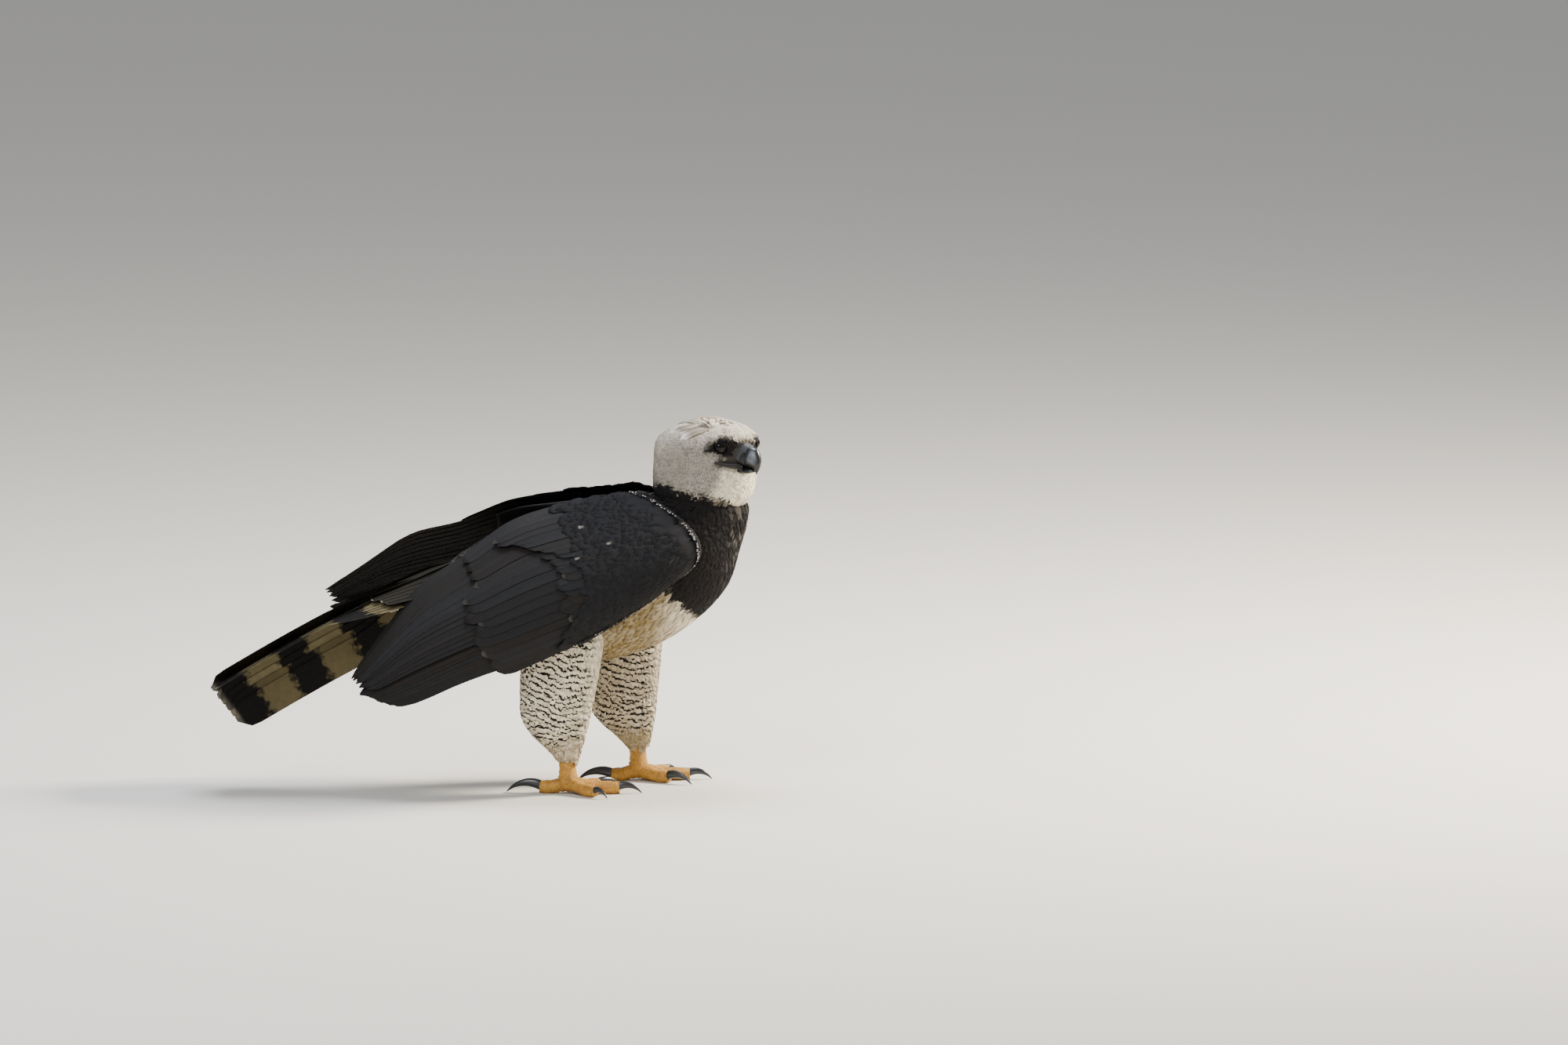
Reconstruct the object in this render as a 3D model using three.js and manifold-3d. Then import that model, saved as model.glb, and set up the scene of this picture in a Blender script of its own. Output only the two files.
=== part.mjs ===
// Harpy eagle, adult female, life size, standing with its head turned to its right
// and its wings loosely folded. Millimetres, +X towards the breast, +Y to the bird's
// left, +Z up. The origin is on the floor, below the middle of the bird.

import * as THREE from 'three';
import Module from 'manifold-3d';

const wasm = await Module();
wasm.setup();

// Gaps and thicknesses
const GAP = 0.3;
const VANE_THICKNESS = 0.8;
const TIP_THICKNESS = 0.5;

// Torso and neck: stations along the spine, from the tail root up to the throat.
// Each holds the centre x and z, the slope of the spine in degrees, the half height
// of the section across the spine and its half width.
const SPINE = [
  { x: -226, z: 313, slope: 20, half: 32, side: 30 },
  { x: -195, z: 309, slope: 14, half: 66, side: 54 },
  { x: -166, z: 305, slope: 8, half: 92, side: 75 },
  { x: -120, z: 311, slope: 6, half: 114, side: 95 },
  { x: -69, z: 319, slope: 6, half: 124, side: 106 },
  { x: -19, z: 326, slope: 6, half: 129, side: 112 },
  { x: 44, z: 335, slope: 9, half: 127, side: 114 },
  { x: 100, z: 350, slope: 16, half: 118, side: 112 },
  { x: 141, z: 370, slope: 25, half: 107, side: 107 },
  { x: 170, z: 398, slope: 40, half: 97, side: 97 },
  { x: 181, z: 429, slope: 55, half: 87, side: 84 },
  { x: 188, z: 456, slope: 67, half: 84, side: 72 },
  { x: 191, z: 480, slope: 75, half: 80, side: 63 },
  { x: 195, z: 506, slope: 80, half: 56, side: 46 },
];
const TRUNK_SIDES = 24;
const TRUNK_STEPS = 19;

// A length greater than the bird's, for the boxes that cut it
const ROOM = 1200;

// The planes that part the neck from the torso and from the head
const NECK_BASE = { x: 168, z: 398, slope: 38 };
const COLLAR = { x: 191, z: 468, slope: 78 };

// Head: its middle, its turn to the bird's right and its nod
const HEAD_AT = { x: 226, y: -6, z: 555 };
const HEAD_TURN = 50;
const HEAD_NOD = 6;
const NOD_BEGINS = -60;
const NOD_FULL = -10;

// Levels of the head: height over its middle; the skull's reach to the front and back,
// half width and roundness of the front (2 is an ellipse, 1 a wedge); and the middle,
// half length and half width of the hood of relaxed feathers over the nape.
const HEAD = [
  { up: -98, front: 27, back: 40, side: 30, round: 2, hoodX: -33, hoodLong: 62, hoodWide: 48 },
  { up: -80, front: 38, back: 60, side: 42, round: 2, hoodX: -34, hoodLong: 80, hoodWide: 62 },
  { up: -62, front: 45, back: 74, side: 54, round: 2, hoodX: -34, hoodLong: 83, hoodWide: 64 },
  { up: -44, front: 49, back: 80, side: 59, round: 2, hoodX: -35, hoodLong: 82, hoodWide: 63 },
  { up: -28, front: 52, back: 84, side: 60, round: 1.75, hoodX: -36, hoodLong: 80, hoodWide: 61 },
  { up: -12, front: 56, back: 88, side: 60, round: 1.5, hoodX: -38, hoodLong: 77, hoodWide: 58 },
  { up: 4, front: 59, back: 90, side: 58, round: 1.42, hoodX: -39, hoodLong: 72, hoodWide: 55 },
  { up: 16, front: 60, back: 84, side: 54, round: 1.7, hoodX: -40, hoodLong: 59, hoodWide: 48 },
  { up: 27, front: 54, back: 73, side: 47, round: 2, hoodX: -40, hoodLong: 41, hoodWide: 36 },
  { up: 35.5, front: 42, back: 58, side: 36, round: 2, hoodX: -42, hoodLong: 16, hoodWide: 20 },
  { up: 39, front: 24, back: 38, side: 21, round: 2, hoodX: -42, hoodLong: 6, hoodWide: 8 },
];
const HEAD_SIDES = 28;
const HEAD_STEPS = 16;
const HEAD_BLEND = 8;

// Eyes, in the head's own frame: forward, to the side, up
const EYE = { forward: 28, side: 32.6, up: 7.5, radius: 12.5 };
const EYE_SIDES = 14;
const EYE_RINGS = 8;
const GAZE = { forward: 0.55, side: 0.83 };
const LID = { aperture: 9.6, radius: 1.7, raised: 0.8, squash: 0.82, sides: 14, ring: 4 };
const BROW = { forward: 31, side: 38, up: 20, reach: 17, depth: 6, height: 5.5 };

// Bill, in the head's own frame. Each station holds the ridge and the cutting edge
// as forward and up, and the half width.
const BILL_UPPER = [
  { ridge: [66, 13], edge: [64, -20.5], half: 13.5 },
  { ridge: [73, 12.4], edge: [69.6, -20.3], half: 12.6 },
  { ridge: [80, 9.8], edge: [75, -19.8], half: 11 },
  { ridge: [85.6, 3], edge: [79, -20], half: 8.8 },
  { ridge: [89.2, -6.5], edge: [82, -22], half: 6.4 },
  { ridge: [89.6, -15.5], edge: [82, -24.4], half: 4.2 },
  { ridge: [87.6, -22.5], edge: [81.8, -26.4], half: 2.2 },
  { ridge: [83.4, -29.2], edge: [81.8, -29.4], half: 0.7 },
];
const BILL_LOWER = [
  { ridge: [43, -23], edge: [43, -35], half: 14.5 },
  { ridge: [54, -22.4], edge: [54, -34.4], half: 12.8 },
  { ridge: [65, -21.6], edge: [65, -32.6], half: 10.8 },
  { ridge: [73.5, -21.4], edge: [73.5, -29.6], half: 8.2 },
  { ridge: [78.5, -23.6], edge: [78.5, -27.2], half: 4.6 },
];
const CERE = [
  { ridge: [45, 17], edge: [43, -21.2], half: 19 },
  { ridge: [53, 16.6], edge: [52, -21.2], half: 16.6 },
  { ridge: [61, 15], edge: [59.4, -21.1], half: 14.8 },
  { ridge: [65.7, 13.8], edge: [63.7, -20.9], half: 14 },
];
const BILL_SIDES = 12;
const BILL_STEPS = { upper: 14, lower: 8, cere: 6 };
const BILL_KEEL = 0.18;
const NOSTRIL = { forward: 58.5, side: 14.6, up: -4, length: 6, width: 2.4, height: 1.4, slope: 42,
  sides: 8, rings: 6 };
const GAPE = {
  back: { forward: 22, up: -13.5, height: 0.5 },
  front: { forward: 57, up: -20.8, height: 1.2 },
  side: 40,
};

// Wing: stations from the bend of the wing to its tip, each with a point on the lower
// edge, on the middle and on the upper edge, measured on the right wing.
const WING = {
  lower: [[159, 104, 362], [88, 130, 310], [-6, 147, 257], [-107, 151, 212],
    [-193, 146, 183], [-271, 134, 152], [-322, 122, 143]],
  middle: [[185, 112, 420], [113, 138, 397], [13, 153, 364], [-92, 156, 326],
    [-189, 148, 283], [-284, 132, 230], [-357, 118, 174]],
  upper: [[92, 52, 488], [19, 32, 483], [-57, 20, 469], [-126, 16, 446],
    [-195, 28, 393], [-271, 56, 334], [-366, 98, 212]],
};
const SHOULDER = { x: 100, z: 440 };
const LEFT_WING_LIFT = { root: 2, tip: 13 };

// The arm of the wing: a pad whose outer face sinks away under the tiers of feathers
// and whose inner face reaches in to the body.
const ARM = { end: 0.56, low: 0.03, high: 0.985, steps: 7, across: 6, edge: 9, fall: 36,
  fallFrom: 0.06, reach: 46, reachEnd: 24, least: 4, rim: 0.5 };

// Tiers of the wing, from the flight feathers out to the small coverts. Roots and tips
// lie at fractions of the length; the first and last feathers lie at fractions of the
// breadth; height is the place in the stack; round is how far a tip's corners fall back.
const WING_TIERS = [
  { count: 7, root: [0.4, 0.4], tip: [0.94, 1.03], at: [0.1, 0.42], aim: [0.035, 0.46],
    half: 21, height: -13.8, steps: 4, round: 0.03 },
  { count: 8, root: [0.36, 0.4], tip: [0.98, 1.02], at: [0.38, 0.93], aim: [0.44, 0.95],
    half: 24, height: -9.2, steps: 4, round: 0.03 },
  { count: 8, root: [0.24, 0.28], tip: [0.58, 0.68], at: [0.08, 0.93], aim: [0.05, 0.92],
    half: 26, height: -4.6, steps: 3, round: 0.035 },
  { count: 7, root: [0.12, 0.15], tip: [0.38, 0.46], at: [0.07, 0.92], aim: [0.05, 0.9],
    half: 28, height: 0, steps: 3, round: 0.02 },
  { count: 4, root: [0.04, 0.08], tip: [0.4, 0.56], at: [0.72, 0.92], aim: [0.74, 0.93],
    half: 22, height: 4.6, steps: 3, round: 0.02 },
];
const WING_OVERLAP = 0.95;
const WING_STACK = 1.5;

// Feathers: how deep their roots are sunk, over what part of their length, and how
// wide the root and the tip are beside the middle
const ROOT_SUNK = 4;
const SUNK_PART = 0.25;
const OUTLINE = { wing: [0.55, 0.6], tail: [0.4, 0.5], coverts: [0.4, 0.4], crest: [0.5, 0.2] };

// Tail: a closed roof of twelve feathers from the tail root to the tip
const TAIL = {
  root: [-212, 8, 366], tip: [-600, 0, 160], bend: 7, limbSlope: 33, roll: 42, ridgeRadius: 16,
};
const TAIL_STUMP = { from: -40, to: 70, half: 17, broad: 1.4, sunk: 0.8, sides: 10, steps: 2 };
const RECTRICES = {
  centreAt: 3, centreHalf: 24, centreFrom: 0.03, sidePairs: 5, firstAt: 17, spacing: 12.4,
  half: 27, sideFrom: 0.05, sideHeight: -4.4, stack: 1.3, ridgeClear: 2, shorten: 2,
};
const UPPER_COVERTS = {
  sides: 2, firstAt: 14, spacing: 15, half: 17, from: 0.02, length: 128, shorten: 20, height: 4.2,
};
const RIDGE_COVERT_HEIGHT = 6.8;
const TAIL_VANE_STEPS = 3;
const LOWER_COVERTS = {
  sides: 2, firstAt: 31, spacing: 13, half: 14, from: 0.02, length: 150, shorten: 20, height: -18,
};
// At its root a feather has this share of its distance from the ridge, and from the
// second fraction of its length on it has all of it
const TAIL_GATHERED = { share: 0.5, until: 0.4 };

// Legs, measured on the right one: centre x, y and z with half length and half width
const TROUSER = [
  { x: -13, y: -70, z: 330, long: 46, wide: 22 },
  { x: -27, y: -76, z: 268, long: 63, wide: 39 },
  { x: -37, y: -78, z: 208, long: 66, wide: 46 },
  { x: -43, y: -75, z: 156, long: 62, wide: 44 },
  { x: -45, y: -73, z: 124, long: 58, wide: 40 },
  { x: -40, y: -72, z: 98, long: 47, wide: 34 },
  { x: -32, y: -71, z: 77, long: 33, wide: 27 },
  { x: -27, y: -71, z: 60, long: 23, wide: 20 },
];
const TROUSER_STEPS = 11;
const TROUSER_SIDES = 18;
const LEFT_LEG_STEP = { top: 92, bottom: 112, from: 260, to: 60 };
const TARSUS = {
  x: -25, y: -71, line: [[-2, 59.2], [-1, 40], [0, 18]], halves: [13.5, 13.5, 17], squash: 0.92,
  sides: 12, steps: 3,
};
const TOES = [
  { name: 'toe_1', turn: 172, length: 46, half: 11.5, claw: 66, clawHalf: 8.2 },
  { name: 'toe_2', turn: 34, length: 58, half: 11, claw: 56, clawHalf: 7.4 },
  { name: 'toe_3', turn: -2, length: 82, half: 11, claw: 46, clawHalf: 6.6 },
  { name: 'toe_4', turn: -46, length: 62, half: 10, claw: 38, clawHalf: 5.8 },
];
const TOE_SIDES = 8;
const TOE_STEPS = 5;
const TOE_RISE = [16, 13, 9, 10];
const TOE_SWELL = [1.15, 1, 0.94, 1.02, 0.84];
const CLAW = {
  curl: 78, tilt: 30, root: 6, tipHeight: 1.2, squash: 0.8, sides: 8,
  swell: [0.96, 0.96, 0.82, 0.6, 0.34, 0.09],
};

// Crest: long feathers of the crown, lying back over the nape
const CREST = {
  count: 7, spread: 104, half: 15, root: 0.13, tip: 0.58, uneven: 0.03, gathered: 0.8, height: 2.6,
  step: 2.2, sunk: 8, steps: 4,
};

const COLOURS = {
  slate: ['#2b2b2e', 0.75], black: ['#1d1b1c', 0.85], pale: ['#b9b2a8', 0.9],
  barred: ['#c9c4b6', 0.9], horn: ['#1f2226', 0.35],
  cere: ['#3a3b3d', 0.6], yellow: ['#c79a3a', 0.6], eye: ['#15120f', 0.08],
  tail: ['#5b554b', 0.8],
};

// Vectors and smooth curves

const vec = (x, y, z) => new THREE.Vector3(x, y, z);
const rad = THREE.MathUtils.degToRad;
const lerp = THREE.MathUtils.lerp;
const clamp = THREE.MathUtils.clamp;

// A smooth value between rows of numbers, by a Catmull-Rom spline through them
function between(values, t) {
  const last = values.length - 1;
  const place = clamp(t, 0, 1) * last;
  const i = Math.min(Math.floor(place), last - 1);
  const f = place - i;
  const [a, b, c, d] = [i - 1, i, i + 1, i + 2].map((k) => values[clamp(k, 0, last)]);
  const bend = (c - a) * 0.5;
  const next = (d - b) * 0.5;
  const square = f * f;
  const cube = square * f;
  return (2 * cube - 3 * square + 1) * b + (cube - 2 * square + f) * bend
    + (3 * square - 2 * cube) * c + (cube - square) * next;
}

// The same for rows that are named sizes
function station(rows, t) {
  const result = {};
  for (const key of Object.keys(rows[0])) {
    result[key] = between(rows.map((row) => row[key]), t);
  }
  return result;
}

function pointOn(points, t) {
  return vec(...[0, 1, 2].map((axis) => between(points.map((p) => p[axis]), t)));
}

// Closed surfaces

function signedVolume(positions, triangles) {
  let sum = 0;
  const [a, b, c] = [vec(), vec(), vec()];
  for (let i = 0; i < triangles.length; i += 3) {
    a.fromArray(positions, triangles[i] * 3);
    b.fromArray(positions, triangles[i + 1] * 3);
    c.fromArray(positions, triangles[i + 2] * 3);
    sum += a.dot(b.cross(c));
  }
  return sum / 6;
}

// Points and triangles become a solid whose faces point outwards
function toSolid(points, triangles) {
  const positions = new Float32Array(points.length * 3);
  points.forEach((point, i) => point.toArray(positions, i * 3));
  const indices = Uint32Array.from(triangles);
  if (signedVolume(positions, indices) < 0) {
    indices.reverse();
  }
  return new wasm.Manifold(new wasm.Mesh({
    numProp: 3,
    vertProperties: positions,
    triVerts: indices,
  }));
}

// A loft through closed rings of equal count, with a flat fan at each end
function loft(rings) {
  const sides = rings[0].length;
  const points = rings.flat();
  const triangles = [];
  for (let k = 0; k + 1 < rings.length; k += 1) {
    for (let i = 0; i < sides; i += 1) {
      const j = (i + 1) % sides;
      const [a, b] = [k * sides + i, k * sides + j];
      const [c, d] = [a + sides, b + sides];
      triangles.push(a, b, d, a, d, c);
    }
  }
  [rings[0], rings[rings.length - 1]].forEach((ring, end) => {
    const middle = ring.reduce((sum, p) => sum.add(p), vec(0, 0, 0)).divideScalar(sides);
    const hub = points.push(middle) - 1;
    const start = end ? (rings.length - 1) * sides : 0;
    for (let i = 0; i < sides; i += 1) {
      const pair = [start + i, start + ((i + 1) % sides)];
      triangles.push(hub, ...(end ? pair : pair.reverse()));
    }
  });
  return toSolid(points, triangles);
}

function join(solids) {
  return wasm.Manifold.union(solids);
}

// The largest closed surface of a solid
function largest(solid) {
  const pieces = solid.decompose();
  return pieces.reduce((best, piece) => (piece.volume() > best.volume() ? piece : best));
}

// The half space on the lower side of a plane across the spine, as a large box
function below(plane, shift) {
  const box = new THREE.BoxGeometry(ROOM, ROOM, ROOM);
  const slope = rad(plane.slope);
  const along = vec(Math.cos(slope), 0, Math.sin(slope));
  box.rotateY(-slope);
  box.translate(plane.x + along.x * (shift - ROOM / 2), 0, plane.z + along.z * (shift - ROOM / 2));
  return fromGeometry(box);
}

// A geometry of three.js as a solid, its equal vertices merged by their place
function fromGeometry(geometry) {
  const place = geometry.attributes.position;
  const order = geometry.index;
  const seen = new Map();
  const points = [];
  const triangles = [];
  for (let i = 0; i < order.count; i += 1) {
    const point = vec().fromBufferAttribute(place, order.getX(i));
    const key = point.toArray().map((value) => value.toFixed(4)).join(' ');
    if (!seen.has(key)) {
      seen.set(key, points.push(point) - 1);
    }
    triangles.push(seen.get(key));
  }
  const whole = [];
  for (let i = 0; i < triangles.length; i += 3) {
    const [a, b, c] = triangles.slice(i, i + 3);
    if (a !== b && b !== c && c !== a) {
      whole.push(a, b, c);
    }
  }
  return toSolid(points, whole);
}

function ball(centre, radius) {
  const sphere = new THREE.SphereGeometry(radius, EYE_SIDES, EYE_RINGS);
  sphere.rotateX(Math.PI / 2);
  sphere.translate(centre.x, centre.y, centre.z);
  return fromGeometry(sphere);
}

// Trunk and head

function trunk(extra) {
  const rings = [];
  for (let k = 0; k <= TRUNK_STEPS; k += 1) {
    const s = station(SPINE, k / TRUNK_STEPS);
    const slope = rad(s.slope);
    const up = vec(-Math.sin(slope), 0, Math.cos(slope));
    const ring = [];
    for (let i = 0; i < TRUNK_SIDES; i += 1) {
      const angle = (i / TRUNK_SIDES) * 2 * Math.PI;
      const side = Math.sin(angle) * (s.side + extra);
      const rise = Math.cos(angle) * (s.half + extra);
      ring.push(vec(s.x, side, s.z).addScaledVector(up, rise));
    }
    rings.push(ring);
  }
  return loft(rings);
}

// A point of the head's own frame, as forward, to the right and up, in the model
function headPoint(forward, right, up) {
  const turn = rad(HEAD_TURN);
  const nod = rad(HEAD_NOD);
  const ahead = forward * Math.cos(nod) + up * Math.sin(nod);
  const rise = up * Math.cos(nod) - forward * Math.sin(nod);
  return vec(
    HEAD_AT.x + ahead * Math.cos(turn) - right * Math.sin(turn),
    HEAD_AT.y - ahead * Math.sin(turn) - right * Math.cos(turn),
    HEAD_AT.z + rise,
  );
}

// Distance from the head's axis to the skull at an angle from its front
function skullReach(row, angle) {
  const forward = Math.cos(angle);
  const reach = forward > 0 ? row.front : row.back;
  const power = forward > 0 ? row.round : 2;
  const sum = Math.abs(forward / reach) ** power + Math.abs(Math.sin(angle) / row.side) ** power;
  return sum ** (-1 / power);
}

// Distance from the head's axis to the hood, an ellipse whose middle lies behind it
function hoodReach(row, angle) {
  const [x, y] = [Math.cos(angle) / row.hoodLong, Math.sin(angle) / row.hoodWide];
  const offset = row.hoodX / row.hoodLong;
  const a = x * x + y * y;
  const root = Math.max(0, (x * offset) ** 2 - a * (offset * offset - 1));
  return Math.max(0, (x * offset + Math.sqrt(root)) / a);
}

// Raised brows over the eyes
function browRise(up, forward, right) {
  const distance = ((forward - BROW.forward) / BROW.reach) ** 2
    + ((Math.abs(right) - BROW.side) / BROW.reach) ** 2 + ((up - BROW.up) / BROW.depth) ** 2;
  return BROW.height * Math.exp(-distance);
}

// A point of the head's surface at a height fraction and an angle in the model's frame
function headSurface(t, angle, extra) {
  const row = station(HEAD, t);
  const turned = angle + rad(HEAD_TURN);
  const face = skullReach(row, turned);
  const nape = hoodReach(row, angle);
  const forward = Math.cos(turned) * face;
  const right = -Math.sin(turned) * face;
  const brow = browRise(row.up, forward, right);
  const meet = Math.max(0, HEAD_BLEND - Math.abs(face - nape));
  const reach = Math.max(face, nape) + (meet * meet) / (4 * HEAD_BLEND) + brow + extra;
  const nod = Math.sin(rad(HEAD_NOD)) * THREE.MathUtils.smoothstep(row.up, NOD_BEGINS, NOD_FULL);
  return vec(
    HEAD_AT.x + Math.cos(angle) * reach,
    HEAD_AT.y + Math.sin(angle) * reach,
    HEAD_AT.z + row.up - Math.cos(turned) * reach * nod,
  );
}

function headLoft(extra) {
  const rings = [];
  for (let k = 0; k <= HEAD_STEPS; k += 1) {
    const ring = [];
    for (let i = 0; i < HEAD_SIDES; i += 1) {
      ring.push(headSurface(k / HEAD_STEPS, (i / HEAD_SIDES) * 2 * Math.PI, extra));
    }
    rings.push(ring);
  }
  return loft(rings);
}

function wholeBody(extra) {
  return join([trunk(extra), headLoft(extra)]);
}

// Bill pieces: sections between a ridge and an edge, narrower towards the ridge
function billLoft(rows, extra, steps) {
  const rings = [];
  for (let k = 0; k <= steps; k += 1) {
    const t = k / steps;
    const ridge = [0, 1].map((axis) => between(rows.map((row) => row.ridge[axis]), t));
    const edge = [0, 1].map((axis) => between(rows.map((row) => row.edge[axis]), t));
    const half = between(rows.map((row) => row.half), t) + extra;
    const middle = [0, 1].map((axis) => (ridge[axis] + edge[axis]) / 2);
    const reach = [0, 1].map((axis) => (ridge[axis] - edge[axis]) / 2);
    const grow = 1 + extra / Math.hypot(...reach);
    const ring = [];
    for (let i = 0; i < BILL_SIDES; i += 1) {
      const angle = (i / BILL_SIDES) * 2 * Math.PI;
      const rise = Math.cos(angle) * grow;
      const out = Math.sin(angle) * half * (1 - BILL_KEEL * Math.cos(angle));
      ring.push(headPoint(middle[0] + reach[0] * rise, out, middle[1] + reach[1] * rise));
    }
    rings.push(ring);
  }
  return loft(rings);
}

// A flat slot from the bill back to the corners of the mouth on both sides
function gapeSlot() {
  return loft([GAPE.back, GAPE.front].map(({ forward, up, height }) => [
    headPoint(forward, -GAPE.side, up - height / 2),
    headPoint(forward, GAPE.side, up - height / 2),
    headPoint(forward, GAPE.side, up + height / 2),
    headPoint(forward, -GAPE.side, up + height / 2),
  ]));
}

function nostril(side) {
  const shape = new THREE.SphereGeometry(1, NOSTRIL.sides, NOSTRIL.rings);
  shape.scale(NOSTRIL.length, NOSTRIL.width, NOSTRIL.height);
  shape.rotateY(-rad(NOSTRIL.slope));
  const place = shape.attributes.position;
  for (let i = 0; i < place.count; i += 1) {
    const p = vec().fromBufferAttribute(place, i);
    const q = headPoint(p.x + NOSTRIL.forward, side * (NOSTRIL.side + p.y), p.z + NOSTRIL.up);
    place.setXYZ(i, q.x, q.y, q.z);
  }
  return fromGeometry(shape);
}

// A ring of lid round the opening of an eye
function lid(side) {
  const centre = headPoint(EYE.forward, side * EYE.side, EYE.up);
  const ahead = headPoint(EYE.forward + GAZE.forward, side * (EYE.side + GAZE.side), EYE.up);
  const out = ahead.sub(centre).normalize();
  const level = vec(0, 0, 1).cross(out).normalize();
  const rise = out.clone().cross(level).multiplyScalar(LID.squash);
  const depth = Math.sqrt(EYE.radius ** 2 - LID.aperture ** 2) + LID.raised;
  const points = [];
  const triangles = [];
  for (let k = 0; k < LID.sides; k += 1) {
    const turn = (k / LID.sides) * 2 * Math.PI;
    const spoke = level.clone().multiplyScalar(Math.cos(turn)).addScaledVector(rise, Math.sin(turn));
    const following = (k + 1) % LID.sides;
    for (let i = 0; i < LID.ring; i += 1) {
      const angle = (i / LID.ring) * 2 * Math.PI;
      points.push(centre.clone()
        .addScaledVector(spoke, LID.aperture + Math.cos(angle) * LID.radius)
        .addScaledVector(out, depth + Math.sin(angle) * LID.radius));
      const j = (i + 1) % LID.ring;
      const [b, c] = [k * LID.ring + i, k * LID.ring + j];
      const [d, e] = [following * LID.ring + i, following * LID.ring + j];
      triangles.push(b, c, e, b, e, d);
    }
  }
  return toSolid(points, triangles);
}

// Feathers laid on a curved surface. A surface gives a point for two fractions:
// along it, from root to tip, and across it.

const SMALL = 0.01;

function surfaceNormal(surface, s, t, outward) {
  const along = surface(s + SMALL, t).sub(surface(s - SMALL, t));
  const across = surface(s, t + SMALL).sub(surface(s, t - SMALL));
  return along.cross(across).normalize().multiplyScalar(outward);
}

// How many millimetres one whole fraction across a surface measures at a place
function breadth(surface, s, t) {
  return surface(s, t + SMALL).distanceTo(surface(s, t - SMALL)) / (2 * SMALL);
}

// One vane between two edges. The feather gives, for a fraction of its length, the
// place on the surface, the fractions across it of its columns and their heights.
function vane(surface, feather) {
  const { steps, columns, outward, sunk } = feather;
  const tops = [];
  const bottoms = [];
  for (let k = 0; k <= steps; k += 1) {
    const f = k / steps;
    const dip = sunk * Math.max(0, 1 - f / SUNK_PART);
    const thick = lerp(VANE_THICKNESS, TIP_THICKNESS, f ** 3) / 2;
    for (const column of columns(f)) {
      const normal = surfaceNormal(surface, column.s, column.t, outward);
      const point = surface(column.s, column.t);
      tops.push(point.clone().addScaledVector(normal, column.height - dip + thick));
      bottoms.push(point.addScaledVector(normal, column.height - dip - thick));
    }
  }
  return sheet(tops, bottoms, steps, columns(0).length - 1);
}

// The outline of a vane: how wide it is at a fraction of its length
function outline(f, [root, tip]) {
  return between([root, 0.86, 1, 1, 0.86, tip], f);
}

// Wings

// The lift of the left wing: a turn about the shoulder that grows to the tip
function wingSurface(side) {
  return (s, t) => {
    const [low, mid, high] = [WING.lower, WING.middle, WING.upper].map((edge) => {
      const point = pointOn(edge, s);
      if (s > 1) {
        point.add(pointOn(edge, 1).sub(pointOn(edge, 2 - s)));
      }
      if (s < 0) {
        point.add(pointOn(edge, 0).sub(pointOn(edge, -s)));
      }
      return point;
    });
    const point = low.multiplyScalar((1 - t) * (1 - 2 * t))
      .addScaledVector(mid, 4 * t * (1 - t))
      .addScaledVector(high, t * (2 * t - 1));
    point.y *= side;
    if (side > 0) {
      const lift = rad(lerp(LEFT_WING_LIFT.root, LEFT_WING_LIFT.tip, s));
      const [x, z] = [point.x - SHOULDER.x, point.z - SHOULDER.z];
      point.x = SHOULDER.x + x * Math.cos(lift) + z * Math.sin(lift);
      point.z = SHOULDER.z + z * Math.cos(lift) - x * Math.sin(lift);
    }
    return point;
  };
}

function arm(surface, outward) {
  const outer = [];
  const inner = [];
  for (let k = 0; k <= ARM.steps; k += 1) {
    const s = (k / ARM.steps) * ARM.end;
    for (let i = 0; i <= ARM.across; i += 1) {
      const across = i / ARM.across;
      const t = lerp(ARM.low, ARM.high, across);
      const normal = surfaceNormal(surface, s, t, outward);
      const sink = Math.max(0, s - ARM.fallFrom) * ARM.fall + (k === 0 ? ARM.edge : 0);
      const rounded = Math.sqrt(Math.sin(Math.PI * across));
      const full = lerp(ARM.reach, ARM.reachEnd, s / ARM.end);
      const reach = (k === 0 ? ARM.edge * 2 : full) * lerp(ARM.rim, 1, rounded);
      const point = surface(s, t);
      outer.push(point.clone().addScaledVector(normal, -sink));
      inner.push(point.addScaledVector(normal, -Math.max(reach, sink + ARM.least)));
    }
  }
  return sheet(outer, inner, ARM.steps, ARM.across);
}

// A closed slab between two grids of equal size, split alike on both faces
function sheet(outer, inner, steps, across) {
  const points = [...outer, ...inner];
  const triangles = [];
  const row = across + 1;
  const under = outer.length;
  const quad = (a, b, c, d) => triangles.push(a, b, c, a, c, d);
  for (let k = 0; k < steps; k += 1) {
    for (let i = 0; i < across; i += 1) {
      const a = k * row + i;
      quad(a, a + 1, a + row + 1, a + row);
      triangles.push(under + a, under + a + row + 1, under + a + 1);
      triangles.push(under + a, under + a + row, under + a + row + 1);
    }
    const left = k * row;
    quad(left, left + row, under + left + row, under + left);
    const right = left + across;
    quad(right, under + right, under + right + row, right + row);
  }
  for (let i = 0; i < across; i += 1) {
    quad(i, under + i, under + i + 1, i + 1);
    const e = steps * row + i;
    quad(e, e + 1, under + e + 1, under + e);
  }
  return toSolid(points, triangles);
}

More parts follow.
